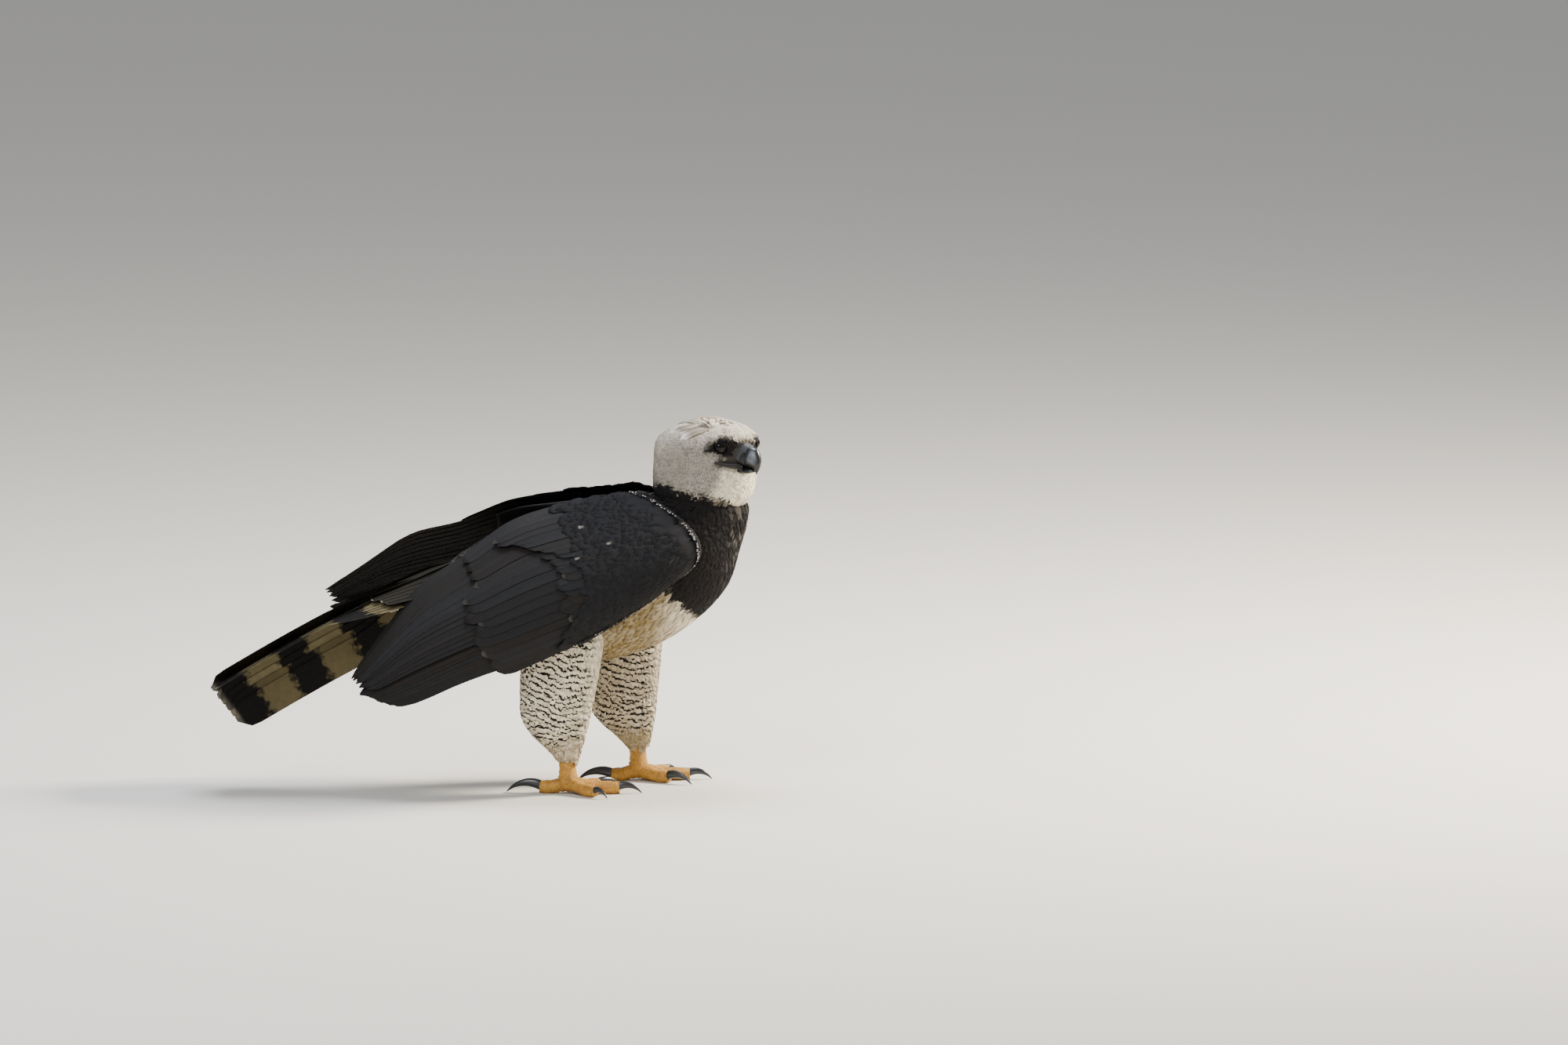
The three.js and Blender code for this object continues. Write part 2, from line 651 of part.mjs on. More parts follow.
// One tier: each feather lies under its upper neighbour, its lower edge lifted
function tier(surface, sizes, outward) {
  const solids = [];
  const { count, root, tip, at, aim } = sizes;
  for (let i = 0; i < count; i += 1) {
    const place = i / (count - 1);
    const columns = (f) => {
      const s = lerp(lerp(...root, place), lerp(...tip, place ** 0.7), f);
      const t = lerp(lerp(...at, place), lerp(...aim, place), f);
      const span = breadth(surface, s, t);
      const spacing = (lerp(at[1] - at[0], aim[1] - aim[0], f) / (count - 1)) * span;
      const half = Math.min(sizes.half, spacing * WING_OVERLAP) * outline(f, OUTLINE.wing);
      const slope = WING_STACK / spacing;
      return [-1, 0, 1].map((edge) => ({
        s: s - Math.abs(edge) * f ** 4 * sizes.round,
        t: t + (edge * half) / span,
        height: sizes.height - edge * half * slope,
      }));
    };
    solids.push(vane(surface, { steps: sizes.steps, columns, outward, sunk: ROOT_SUNK }));
  }
  return solids;
}

function wing(side) {
  const surface = wingSurface(side);
  const outward = side > 0 ? 1 : -1;
  const tiers = WING_TIERS.map((sizes) => tier(surface, sizes, outward));
  return join([arm(surface, outward), ...tiers.flat()]);
}

// Tail

// The roof of the tail: straight limbs on both sides of a rounded ridge. The second
// value is the distance across from the ridge, in millimetres.
function tailSurface(s, t) {
  const root = vec(...TAIL.root);
  const tip = vec(...TAIL.tip);
  const length = tip.distanceTo(root);
  const along = tip.clone().sub(root).normalize();
  const lift = vec(along.z, 0, -along.x).normalize();
  const side = vec(0, 1, 0);
  const limb = rad(TAIL.limbSlope);
  const arc = TAIL.ridgeRadius * limb;
  const distance = Math.abs(t);
  const inner = Math.min(distance, arc) / TAIL.ridgeRadius;
  const rest = Math.max(0, distance - arc);
  const out = (Math.sin(inner) * TAIL.ridgeRadius + rest * Math.cos(limb)) * Math.sign(t);
  const down = (1 - Math.cos(inner)) * TAIL.ridgeRadius + rest * Math.sin(limb);
  const roll = rad(TAIL.roll) * clamp(s * 2, 0, 1);
  const across = side.clone().multiplyScalar(Math.cos(roll)).addScaledVector(lift, -Math.sin(roll));
  const rise = lift.clone().multiplyScalar(Math.cos(roll)).addScaledVector(side, Math.sin(roll));
  return root.clone()
    .addScaledVector(along, s * length)
    .addScaledVector(lift, TAIL.bend * Math.sin(Math.PI * clamp(s, 0, 1)))
    .addScaledVector(across, out)
    .addScaledVector(rise, -down);
}

function tailLength() {
  return vec(...TAIL.root).distanceTo(vec(...TAIL.tip));
}

function tailStump() {
  const { from, to, half, broad, sunk, sides, steps } = TAIL_STUMP;
  const rings = [];
  for (let k = 0; k <= steps; k += 1) {
    const s = lerp(from, to, k / steps) / tailLength();
    const normal = surfaceNormal(tailSurface, s, 0, -1);
    const side = tailSurface(s, 1).sub(tailSurface(s, -1)).normalize();
    const ring = [];
    for (let i = 0; i < sides; i += 1) {
      const angle = (i / sides) * 2 * Math.PI;
      ring.push(tailSurface(s, 0)
        .addScaledVector(normal, (Math.cos(angle) - sunk) * half)
        .addScaledVector(side, Math.sin(angle) * half * broad));
    }
    rings.push(ring);
  }
  return loft(rings);
}

// A feather of the tail, straight from its root to its tip, gathered towards the ridge
// at its root. Its inner edge keeps clear of the ridge if it lies wholly on one limb.
function tailFeather({ side, at, half, height, from, to, shape, clear }) {
  const columns = (f) => {
    const gathered = lerp(TAIL_GATHERED.share, 1, clamp(f / TAIL_GATHERED.until, 0, 1));
    const width = half * outline(f, shape);
    const edges = clear ? [-1, 1] : [-1, 0, 1];
    return edges.map((edge) => {
      const out = at * gathered + edge * width;
      return { s: lerp(from, to, f), t: side * (clear ? Math.max(out, clear) : out), height };
    });
  };
  return vane(tailSurface, { steps: TAIL_VANE_STEPS, columns, outward: -1, sunk: ROOT_SUNK });
}

function tail() {
  const length = tailLength();
  const clear = RECTRICES.ridgeClear;
  const solids = [tailStump()];
  for (const [i, side] of [1, -1].entries()) {
    solids.push(tailFeather({
      side, at: RECTRICES.centreAt, half: RECTRICES.centreHalf, height: -i * (VANE_THICKNESS + GAP),
      from: RECTRICES.centreFrom, to: 1, shape: OUTLINE.tail, clear: 0,
    }));
    for (let k = 0; k < RECTRICES.sidePairs; k += 1) {
      solids.push(tailFeather({
        side, at: RECTRICES.firstAt + k * RECTRICES.spacing, half: RECTRICES.half,
        height: RECTRICES.sideHeight - k * RECTRICES.stack, from: RECTRICES.sideFrom,
        to: 1 - ((k + 1) * RECTRICES.shorten) / length, shape: OUTLINE.tail, clear,
      }));
    }
    for (const coverts of [UPPER_COVERTS, LOWER_COVERTS]) {
      for (let k = 0; k < coverts.sides; k += 1) {
        solids.push(tailFeather({
          side, at: coverts.firstAt + k * coverts.spacing, half: coverts.half,
          height: coverts.height - k * RECTRICES.stack, from: coverts.from,
          to: (coverts.length - k * coverts.shorten) / length, shape: OUTLINE.coverts, clear,
        }));
      }
    }
  }
  solids.push(tailFeather({
    side: 1, at: 0, half: UPPER_COVERTS.half, height: RIDGE_COVERT_HEIGHT, from: UPPER_COVERTS.from,
    to: (UPPER_COVERTS.length - UPPER_COVERTS.shorten) / length, shape: OUTLINE.coverts, clear: 0,
  }));
  return join(solids);
}

// Legs

function legShift(side, z) {
  const f = clamp((LEFT_LEG_STEP.from - z) / (LEFT_LEG_STEP.from - LEFT_LEG_STEP.to), 0, 1);
  return side > 0 ? lerp(LEFT_LEG_STEP.top, LEFT_LEG_STEP.bottom, f) : 0;
}

function trouser(side, extra) {
  const rings = [];
  for (let k = 0; k <= TROUSER_STEPS; k += 1) {
    const s = station(TROUSER, k / TROUSER_STEPS);
    const ring = [];
    for (let i = 0; i < TROUSER_SIDES; i += 1) {
      const angle = (i / TROUSER_SIDES) * 2 * Math.PI;
      ring.push(vec(
        s.x + legShift(side, s.z) + Math.cos(angle) * (s.long + extra),
        -side * s.y + Math.sin(angle) * (s.wide + extra),
        s.z - (k === TROUSER_STEPS ? extra : 0),
      ));
    }
    rings.push(ring);
  }
  return loft(rings);
}

// Where a line counts as upright, as the height of its unit vector
const UPRIGHT = 0.95;

// A tube of round sections along a curve, with its own half width at each place
function taper(points, halves, sides, steps, squash) {
  const rings = [];
  for (let k = 0; k <= steps; k += 1) {
    const t = k / steps;
    const middle = pointOn(points, t);
    const ahead = pointOn(points, Math.min(1, t + 2 * SMALL));
    const along = ahead.sub(pointOn(points, Math.max(0, t - 2 * SMALL))).normalize();
    const reference = Math.abs(along.z) > UPRIGHT ? vec(1, 0, 0) : vec(0, 0, 1);
    const side = reference.cross(along).normalize();
    const rise = along.clone().cross(side);
    const half = between(halves, t);
    const ring = [];
    for (let i = 0; i < sides; i += 1) {
      const angle = ((i + 0.5) / sides) * 2 * Math.PI;
      ring.push(middle.clone()
        .addScaledVector(side, Math.cos(angle) * half * squash)
        .addScaledVector(rise, Math.sin(angle) * half));
    }
    rings.push(ring);
  }
  return loft(rings);
}

function footCentre(side) {
  return vec(TARSUS.x + legShift(side, 0), side * -TARSUS.y, 0);
}

function toeDirection(side, toe) {
  const turn = rad(-side * toe.turn);
  return vec(Math.cos(turn), Math.sin(turn), 0);
}

// The path of a toe from the middle of the foot to the root of its claw
function toePath(side, toe) {
  const ahead = toeDirection(side, toe);
  const last = TOE_RISE.length - 1;
  return TOE_RISE.map((z, i) => footCentre(side)
    .addScaledVector(ahead, (toe.length * i) / last).setZ(z).toArray());
}

function foot(side) {
  const centre = footCentre(side);
  const shank = TARSUS.line.map(([x, z]) => [centre.x + x, centre.y, z]);
  const solids = [taper(shank, TARSUS.halves, TARSUS.sides, TARSUS.steps, TARSUS.squash)];
  for (const toe of TOES) {
    const halves = TOE_SWELL.map((f) => f * toe.half);
    solids.push(taper(toePath(side, toe), halves, TOE_SIDES, TOE_STEPS, 1));
  }
  const ground = new THREE.BoxGeometry(ROOM, ROOM, ROOM);
  ground.translate(0, 0, -ROOM / 2);
  const claws = TOES.map((toe) => claw(side, toe, GAP));
  return join(solids).subtract(join([fromGeometry(ground), ...claws]));
}

// A claw, curved down to the floor; its root sits inside the end of its toe
function claw(side, toe, extra) {
  const ahead = toeDirection(side, toe);
  const start = vec(...toePath(side, toe).pop()).addScaledVector(ahead, -CLAW.root - extra);
  const curl = rad(CLAW.curl);
  const radius = toe.claw / curl;
  const tilt = rad(CLAW.tilt);
  const last = CLAW.swell.length - 1;
  const path = CLAW.swell.map((_, i) => {
    const angle = (i / last) * curl;
    const forward = radius * (Math.sin(angle - tilt) + Math.sin(tilt));
    const rise = radius * (Math.cos(angle - tilt) - Math.cos(tilt));
    return start.clone().addScaledVector(ahead, forward).add(vec(0, 0, rise));
  });
  const drop = path[last].z - CLAW.tipHeight;
  const fitted = path.map((p, i) => p.add(vec(0, 0, -drop * (i / last) ** 2)).toArray());
  const halves = CLAW.swell.map((f) => f * toe.clawHalf + extra);
  return taper(fitted, halves, CLAW.sides, last, CLAW.squash);
}

// Crest feathers on the back of the head, from the crown down over the nape
function crestSurface(s, t) {
  return headSurface(1 - s, Math.PI + t, 0);
}

function crest() {
  const solids = [];
  for (let i = 0; i < CREST.count; i += 1) {
    const place = i - (CREST.count - 1) / 2;
    const angle = rad((place / (CREST.count - 1)) * CREST.spread);
    const odd = i % 2;
    const columns = (f) => {
      const s = lerp(CREST.root, CREST.tip + (odd - Math.abs(place)) * CREST.uneven, f);
      const t = angle * lerp(CREST.gathered, 1, f);
      const span = breadth(crestSurface, s, t);
      const half = CREST.half * outline(f, OUTLINE.crest);
      const height = CREST.height + odd * CREST.step;
      return [-1, 1].map((edge) => ({ s, t: t + (edge * half) / span, height }));
    };
    solids.push(vane(crestSurface, { steps: CREST.steps, columns, outward: 1, sunk: CREST.sunk }));
  }
  return solids;
}

// The eagle, piece by piece

function material([colour, roughness]) {
  return new THREE.MeshStandardMaterial({ color: new THREE.Color(colour), roughness, metalness: 0 });
}

const eagle = new THREE.Group();

function add(name, solid, colour) {
  const mesh = largest(solid).getMesh();
  const geometry = new THREE.BufferGeometry();
  geometry.setAttribute('position', new THREE.BufferAttribute(new Float32Array(mesh.vertProperties), 3));
  geometry.setIndex(new THREE.BufferAttribute(new Uint32Array(mesh.triVerts), 1));
  geometry.computeVertexNormals();
  const piece = new THREE.Mesh(geometry, material(COLOURS[colour]));
  piece.name = name;
  eagle.add(piece);
}

const body = wholeBody(0);
const bodyRoom = wholeBody(GAP);
const eyes = [-1, 1].map((side) => headPoint(EYE.forward, -side * EYE.side, EYE.up));
const eyeRoom = join(eyes.map((centre) => ball(centre, EYE.radius + GAP)));
const lids = join([-1, 1].map((side) => lid(side)));
const nostrils = join([-1, 1].map((side) => nostril(side)));
const cereRoom = billLoft(CERE, GAP, BILL_STEPS.cere);
const lowerRoom = billLoft(BILL_LOWER, GAP, BILL_STEPS.lower);
const upperRoom = billLoft(BILL_UPPER, GAP, BILL_STEPS.upper);
const cereBody = billLoft(CERE, 0, BILL_STEPS.cere);
const lowerBill = billLoft(BILL_LOWER, 0, BILL_STEPS.lower);

add('torso', body.intersect(below(NECK_BASE, -GAP / 2)), 'black');
add('neck', body.subtract(below(NECK_BASE, GAP / 2)).intersect(below(COLLAR, -GAP / 2)), 'black');
const headShape = join([body.subtract(below(COLLAR, GAP / 2)), lids, ...crest()]);
add('head', headShape.subtract(join([eyeRoom, cereRoom, lowerRoom, gapeSlot()])), 'pale');
add('cere', cereBody.subtract(join([nostrils, eyeRoom])), 'cere');
add('bill_upper', billLoft(BILL_UPPER, 0, BILL_STEPS.upper), 'horn');
add('bill_lower', lowerBill.subtract(join([cereRoom, upperRoom])), 'horn');
add('eye_right', ball(headPoint(EYE.forward, EYE.side, EYE.up), EYE.radius), 'eye');
add('eye_left', ball(headPoint(EYE.forward, -EYE.side, EYE.up), EYE.radius), 'eye');

add('tail', tail().subtract(bodyRoom), 'tail');

for (const [name, side] of [['right', -1], ['left', 1]]) {
  add(`trouser_${name}`, trouser(side, 0).subtract(bodyRoom), 'barred');
  add(`foot_${name}`, foot(side).subtract(trouser(side, GAP)), 'yellow');
  for (const toe of TOES) {
    add(`claw_${name}_${toe.name}`, claw(side, toe, 0), 'horn');
  }
  const room = join([bodyRoom, trouser(side, GAP)]);
  add(`wing_${name}`, wing(side).subtract(room), 'slate');
}

// The origin lies on the floor, below the middle of the bird
const centre = new THREE.Box3().setFromObject(eagle).getCenter(vec());
eagle.position.set(-centre.x, -centre.y, 0);

export default eagle;
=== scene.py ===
"""A harpy eagle, adult female, life size: the still model as a museum shows it, feather by feather."""

import math

import bpy
import numpy as np
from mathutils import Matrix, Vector


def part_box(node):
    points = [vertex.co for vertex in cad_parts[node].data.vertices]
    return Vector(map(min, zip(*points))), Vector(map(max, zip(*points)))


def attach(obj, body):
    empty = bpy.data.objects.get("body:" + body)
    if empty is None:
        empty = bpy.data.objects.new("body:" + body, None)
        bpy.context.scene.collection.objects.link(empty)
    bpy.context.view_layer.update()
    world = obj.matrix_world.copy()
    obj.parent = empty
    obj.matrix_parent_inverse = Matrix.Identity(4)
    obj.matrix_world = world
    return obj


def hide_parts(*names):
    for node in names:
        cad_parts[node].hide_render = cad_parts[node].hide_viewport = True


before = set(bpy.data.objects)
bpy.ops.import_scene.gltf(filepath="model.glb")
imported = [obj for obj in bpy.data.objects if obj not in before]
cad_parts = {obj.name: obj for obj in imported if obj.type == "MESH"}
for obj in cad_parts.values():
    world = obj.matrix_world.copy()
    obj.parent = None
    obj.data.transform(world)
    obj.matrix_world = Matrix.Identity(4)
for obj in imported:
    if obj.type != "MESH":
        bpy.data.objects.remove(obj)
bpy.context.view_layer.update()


# The camera. A long lens, far off and a little above the bird, looks square at its right side, so that
# near and far parts keep nearly one scale.

CAMERA_RISE = math.radians(8)
CAMERA_DISTANCE = 30.0
CAMERA_AIM = Vector((0.4797, 0.0, 0.4295))
PICTURE_WIDTH = 2.52
SENSOR_WIDTH = 36.0
VIEW_END = 200.0

camera = bpy.data.objects.new("camera", bpy.data.cameras.new("camera"))
bpy.context.collection.objects.link(camera)
camera.data.sensor_width = SENSOR_WIDTH
camera.data.lens = SENSOR_WIDTH * CAMERA_DISTANCE / PICTURE_WIDTH
camera.data.clip_end = VIEW_END
backwards = Vector((0.0, -math.cos(CAMERA_RISE), math.sin(CAMERA_RISE)))
camera.location = CAMERA_AIM + backwards * CAMERA_DISTANCE
camera.rotation_euler = backwards.to_track_quat("Z", "Y").to_euler()
bpy.context.scene.camera = camera


# The stage: a pale matt floor that fills the background, daylight from all round, a broad soft light
# from the camera's side, a warmer, narrower one from in front of the bird and a cool one from above.

FLOOR_HALF = 80.0
FLOOR_COLOUR = "#cfccc6"
SKY_COLOUR = "#eef1f6"
SKY_STRENGTH = 0.55
LIGHTS = {
    "soft_light": {"at": (-1.6, -3.4, 3.2), "size": 2.6, "power": 150, "colour": "#ffffff"},
    "front_light": {"at": (3.4, 0.9, 2.6), "size": 0.9, "power": 560, "colour": "#fff3df"},
    "top_light": {"at": (0.1, 0.9, 4.0), "size": 2.0, "power": 210, "colour": "#f2f6ff"},
}
LIT_SPOT = Vector((0.05, 0.0, 0.32))


def linear(colour):
    """An sRGB hex colour as four linear numbers: each part c becomes ((c + 0.055) / 1.055) ** 2.4, or
    c / 12.92 where it is very dark."""
    parts = [int(colour[i:i + 2], 16) / 255 for i in (1, 3, 5)]
    return [c / 12.92 if c < 0.04045 else ((c + 0.055) / 1.055) ** 2.4 for c in parts] + [1.0]


def add_node(tree, kind, values=None, links=None, **settings):
    """Adds a node: settings are its own properties, values fill its sockets, links join sockets."""
    made = tree.nodes.new(kind)
    for name, value in settings.items():
        setattr(made, name, value)
    for socket, value in (values or {}).items():
        made.inputs[socket].default_value = value
    for socket, output in (links or {}).items():
        tree.links.new(output, made.inputs[socket])
    return made


def new_material(name, **sockets):
    """A material with an empty Principled shader, its sockets set to plain numbers or colours."""
    material = bpy.data.materials.new(name)
    material.use_nodes = True
    material.node_tree.nodes.clear()
    shader = add_node(material.node_tree, "ShaderNodeBsdfPrincipled", values=sockets)
    add_node(material.node_tree, "ShaderNodeOutputMaterial", links={"Surface": shader.outputs["BSDF"]})
    return material, shader


def new_piece(name, points, polygons, material):
    """A mesh object from an array of points in metres and arrays of corners, one for each corner count."""
    mesh = bpy.data.meshes.new(name)
    corners = np.concatenate([rows.ravel() for rows in polygons]).astype(np.int32)
    sizes = np.concatenate([np.full(len(rows), rows.shape[1]) for rows in polygons])
    starts = np.concatenate(([0], np.cumsum(sizes)[:-1])).astype(np.int32)
    mesh.vertices.add(len(points))
    mesh.vertices.foreach_set("co", np.asarray(points, np.float32).ravel())
    mesh.loops.add(len(corners))
    mesh.loops.foreach_set("vertex_index", corners)
    mesh.polygons.add(len(starts))
    mesh.polygons.foreach_set("loop_start", starts)
    mesh.polygons.foreach_set("use_smooth", np.ones(len(starts), bool))
    mesh.update(calc_edges=True)
    mesh.validate()
    piece = bpy.data.objects.new(name, mesh)
    bpy.context.collection.objects.link(piece)
    mesh.materials.append(material)
    return piece


# Matt wall paint, rolled on: no gloss, so the floor shows only soft shadows.
floor_paint, shader = new_material("matt_floor_paint", Roughness=0.95)
shader.inputs["Base Color"].default_value = linear(FLOOR_COLOUR)
corners = np.array([(-1, -1, 0), (1, -1, 0), (1, 1, 0), (-1, 1, 0)]) * FLOOR_HALF
floor = new_piece("floor", corners, [np.array([(0, 1, 2, 3)])], floor_paint)

world = bpy.data.worlds.new("daylight")
world.use_nodes = True
world.node_tree.nodes["Background"].inputs["Color"].default_value = linear(SKY_COLOUR)
world.node_tree.nodes["Background"].inputs["Strength"].default_value = SKY_STRENGTH
bpy.context.scene.world = world

for name, light in LIGHTS.items():
    lamp = bpy.data.lights.new(name, "AREA")
    lamp.size = light["size"]
    lamp.energy = light["power"]
    lamp.color = linear(light["colour"])[:3]
    lamp_object = bpy.data.objects.new(name, lamp)
    bpy.context.collection.objects.link(lamp_object)
    lamp_object.location = light["at"]
    towards = Vector(light["at"]) - LIT_SPOT
    lamp_object.rotation_euler = towards.to_track_quat("Z", "Y").to_euler()


# The skin. One surface under all the feathers of the body, head and thighs, drawn in millimetres from
# the sections of the bird and fused without a seam. It lies inside the outline by the coat's depth and
# wears the same markings as the feathers, so that no gap between them shows.

# Stations of the spine: centre x and z, slope in degrees, half height and half width of the section.
SPINE = np.array([
    (-226, 313, 20, 32, 30), (-195, 309, 14, 66, 54), (-166, 305, 8, 92, 75), (-120, 311, 6, 114, 95),
    (-69, 319, 6, 124, 106), (-19, 326, 6, 129, 112), (44, 335, 9, 127, 114), (100, 350, 16, 118, 112),
    (141, 370, 25, 107, 107), (170, 398, 40, 97, 97), (181, 429, 55, 87, 84), (188, 456, 67, 84, 72),
    (191, 480, 75, 80, 63), (195, 506, 80, 56, 46),
])
HEAD_AT = np.array((226.0, -6.0, 555.0))
HEAD_TURN = math.radians(50)
HEAD_NOD = math.radians(6)
# Levels of the head: height, the skull's front, back, side and roundness, the hood's middle, length
# and width.
HEAD = np.array([
    (-98, 27, 40, 30, 2, -33, 62, 48), (-80, 38, 60, 42, 2, -34, 80, 62),
    (-62, 45, 74, 54, 2, -34, 83, 64), (-44, 49, 80, 59, 2, -35, 82, 63),
    (-28, 52, 84, 60, 1.75, -36, 80, 61), (-12, 56, 88, 60, 1.5, -38, 77, 58),
    (4, 59, 90, 58, 1.42, -39, 72, 55), (16, 60, 84, 54, 1.7, -40, 59, 48),
    (27, 54, 73, 47, 2, -40, 41, 36), (35.5, 42, 58, 36, 2, -42, 16, 20), (39, 24, 38, 21, 2, -42, 6, 8),
])
HEAD_BLEND = 8
DOME = 3
DOME_TO = 1.9
NOD_OVER = (-60, -10)
EYE = {"forward": 28, "side": 32.6, "up": 7.5, "radius": 12.5}
BROW = {"forward": 31, "side": 38, "up": 20, "reach": 17, "depth": 6, "height": 5.5}
# Levels of the thigh's feathering: centre x, y and z, half length and half width.
TROUSER = np.array([
    (-13, -70, 330, 46, 22), (-27, -76, 268, 63, 39), (-37, -78, 208, 66, 46), (-43, -75, 156, 62, 44),
    (-45, -73, 124, 58, 40), (-40, -72, 98, 47, 34), (-32, -71, 77, 33, 27), (-27, -71, 60, 23, 20),
])
LEFT_LEG_STEP = {"top": 92, "bottom": 112, "from": 260, "to": 60}
SKIN_DEPTH = {"trunk": 9, "head": 5, "trouser": 8}
SKIN_GRID = {"trunk": (60, 64), "head": (70, 72), "trouser": (40, 40)}
SKIN_VOXEL = 0.003
SKIN_SMOOTHING = 6
# Below these heights the skin wears the thighs' marking; their black bars are this far apart.
SKIN_LEG_FROM = (205, 235)
BAR_SPACING = 10.5
# What a surface without feathers takes as its place across and along a vane, its tint and weight; lying
# near a root, it takes most of the painted root shade.
BARE_VANE = (0.5, 0.1, 0.5, 1.0)
RAGGED = {"waves": 9, "sizes": (0.7, 1.4), "spread": 4.2}


def between(rows, t):
    """A Catmull-Rom curve through rows of numbers, t from 0 to 1; past its ends it runs on straight."""
    rows = np.asarray(rows, float).reshape(len(rows), -1)
    last = len(rows) - 1
    inside = np.clip(t, 0, 1)
    i = np.minimum((inside * last).astype(int), last - 1)
    f = (inside * last - i)[..., None]
    a, b, c, d = (rows[np.clip(i + k, 0, last)] for k in (-1, 0, 1, 2))
    bend, bend_next = (c - a) / 2, (d - b) / 2
    value = (2 * f**3 - 3 * f**2 + 1) * b + (f**3 - 2 * f**2 + f) * bend
    value = value + (3 * f**2 - 2 * f**3) * c + (f**3 - f**2) * bend_next
    slope = np.where(f < 0.5, bend, bend_next) * last
    return value + (t - inside)[..., None] * slope


def smooth_step(x, low, high):
    """Nought below low, one above high, 3 f^2 - 2 f^3 between."""
    f = np.clip((x - low) / (high - low), 0, 1)
    return f * f * (3 - 2 * f)


def unit(vectors):
    """Vectors divided by their lengths."""
    return vectors / np.maximum(np.linalg.norm(vectors, axis=-1, keepdims=True), 1e-9)


def head_point(forward, right, up):
    """A place in the head's own frame: nodded about its side axis, then turned to the bird's right."""
    forward, right, up = np.broadcast_arrays(*(np.asarray(v, float) for v in (forward, right, up)))
    ahead = forward * math.cos(HEAD_NOD) + up * math.sin(HEAD_NOD)
    rise = up * math.cos(HEAD_NOD) - forward * math.sin(HEAD_NOD)
    x = ahead * math.cos(HEAD_TURN) - right * math.sin(HEAD_TURN)
    y = -ahead * math.sin(HEAD_TURN) - right * math.cos(HEAD_TURN)
    return HEAD_AT + np.stack((x, y, rise), -1)


def in_head(points):
    """The inverse: how far forward, to the right and up a point lies in the head's own frame."""
    x, y, rise = np.moveaxis(points - HEAD_AT, -1, 0)
    ahead = x * math.cos(HEAD_TURN) - y * math.sin(HEAD_TURN)
    right = -x * math.sin(HEAD_TURN) - y * math.cos(HEAD_TURN)
    forward = ahead * math.cos(HEAD_NOD) - rise * math.sin(HEAD_NOD)
    return forward, right, ahead * math.sin(HEAD_NOD) + rise * math.cos(HEAD_NOD)


EYE_BOX = np.array([tuple(corner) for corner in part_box("eye_right")])
ORIGIN = EYE_BOX.mean(0) * 1000 - head_point(EYE["forward"], EYE["side"], EYE["up"])


def place(points):
    """Millimetres of the drawn bird as metres of the model."""
    return (np.asarray(points) + ORIGIN) / 1000


def trunk(s, angle, extra=0.0):
    """The spine's station at s, and its ellipse at an angle from the back, widened by extra."""
    x, z, slope, half, side = np.moveaxis(between(SPINE, s), -1, 0)
    slope = np.radians(slope)
    rise = np.cos(angle) * (half + extra)
    x, z = x - np.sin(slope) * rise, z + np.cos(slope) * rise
    return np.stack((x, np.sin(angle) * (side + extra), z), -1)


def head(t, angle, extra=0.0):
    """A level of the head at t and an angle from +X: the skull's rounded wedge and the hood's ellipse,
    whichever reaches further, blended where they meet, with raised brows; past t = 1 it domes over."""
    over = np.clip(t - 1, 0, 1)
    level = np.moveaxis(between(HEAD, np.minimum(t, 1)), -1, 0)
    up, front, back, side, roundness, hood_x, hood_long, hood_wide = level
    turned = angle + HEAD_TURN
    power = np.where(np.cos(turned) > 0, roundness, 2.0)
    reach = np.where(np.cos(turned) > 0, front, back)
    face = np.abs(np.cos(turned) / reach) ** power + np.abs(np.sin(turned) / side) ** power
    face = face ** (-1 / power)
    x, y, offset = np.cos(angle) / hood_long, np.sin(angle) / hood_wide, hood_x / hood_long
    square = x * x + y * y
    root = np.maximum(0, (x * offset) ** 2 - square * (offset * offset - 1))
    nape = np.maximum(0, (x * offset + np.sqrt(root)) / square)
    forward, right = np.cos(turned) * face, np.abs(np.sin(turned) * face)
    far = ((forward - BROW["forward"]) / BROW["reach"]) ** 2 + ((right - BROW["side"]) / BROW["reach"]) ** 2
    brow = BROW["height"] * np.exp(-far - ((up - BROW["up"]) / BROW["depth"]) ** 2)
    meet = np.maximum(0, HEAD_BLEND - np.abs(face - nape))
    out = np.maximum(face, nape) + meet * meet / (4 * HEAD_BLEND) + brow + extra
    out = out * (1 - over)
    up = up + extra * np.clip(t * 2 - 1, 0, 1) + DOME * (1 - (1 - over) ** 2)
    nod = math.sin(HEAD_NOD) * smooth_step(up, *NOD_OVER)
    up = up - np.cos(turned) * out * nod
    return HEAD_AT + np.stack((np.cos(angle) * out, np.sin(angle) * out, up), -1)


def leg_shift(side, z):
    """How far the left leg stands before the right one, growing towards the foot."""
    step = LEFT_LEG_STEP
    f = np.clip((step["from"] - z) / (step["from"] - step["to"]), 0, 1)
    return (step["top"] + (step["bottom"] - step["top"]) * f) * (side > 0)


def trouser(side):
    """The thigh's ellipse at level t, from the hip down to the ankle; side is 1 on the left."""
    def surface(t, angle, extra=0.0):
        """The level's middle plus cos(angle) half lengths ahead and sin(angle) half widths aside."""
        x, y, z, long, wide = np.moveaxis(between(TROUSER, t), -1, 0)
        x = x + leg_shift(side, z) + np.cos(angle) * (long + extra)
        return np.stack((x, -side * y + np.sin(angle) * (wide + extra), z), -1)
    return surface


def tube_faces(rings, sides):
    """Corners of a closed tube whose points run ring by ring: quads, and a polygon over each end."""
    k, i = np.meshgrid(np.arange(rings - 1), np.arange(sides), indexing="ij")
    a, b = k * sides + i, k * sides + (i + 1) % sides
    quads = np.stack((a, b, b + sides, a + sides), -1).reshape(-1, 4)
    ends = np.stack((np.arange(sides)[::-1], np.arange(sides) + (rings - 1) * sides))
    return [quads, ends]


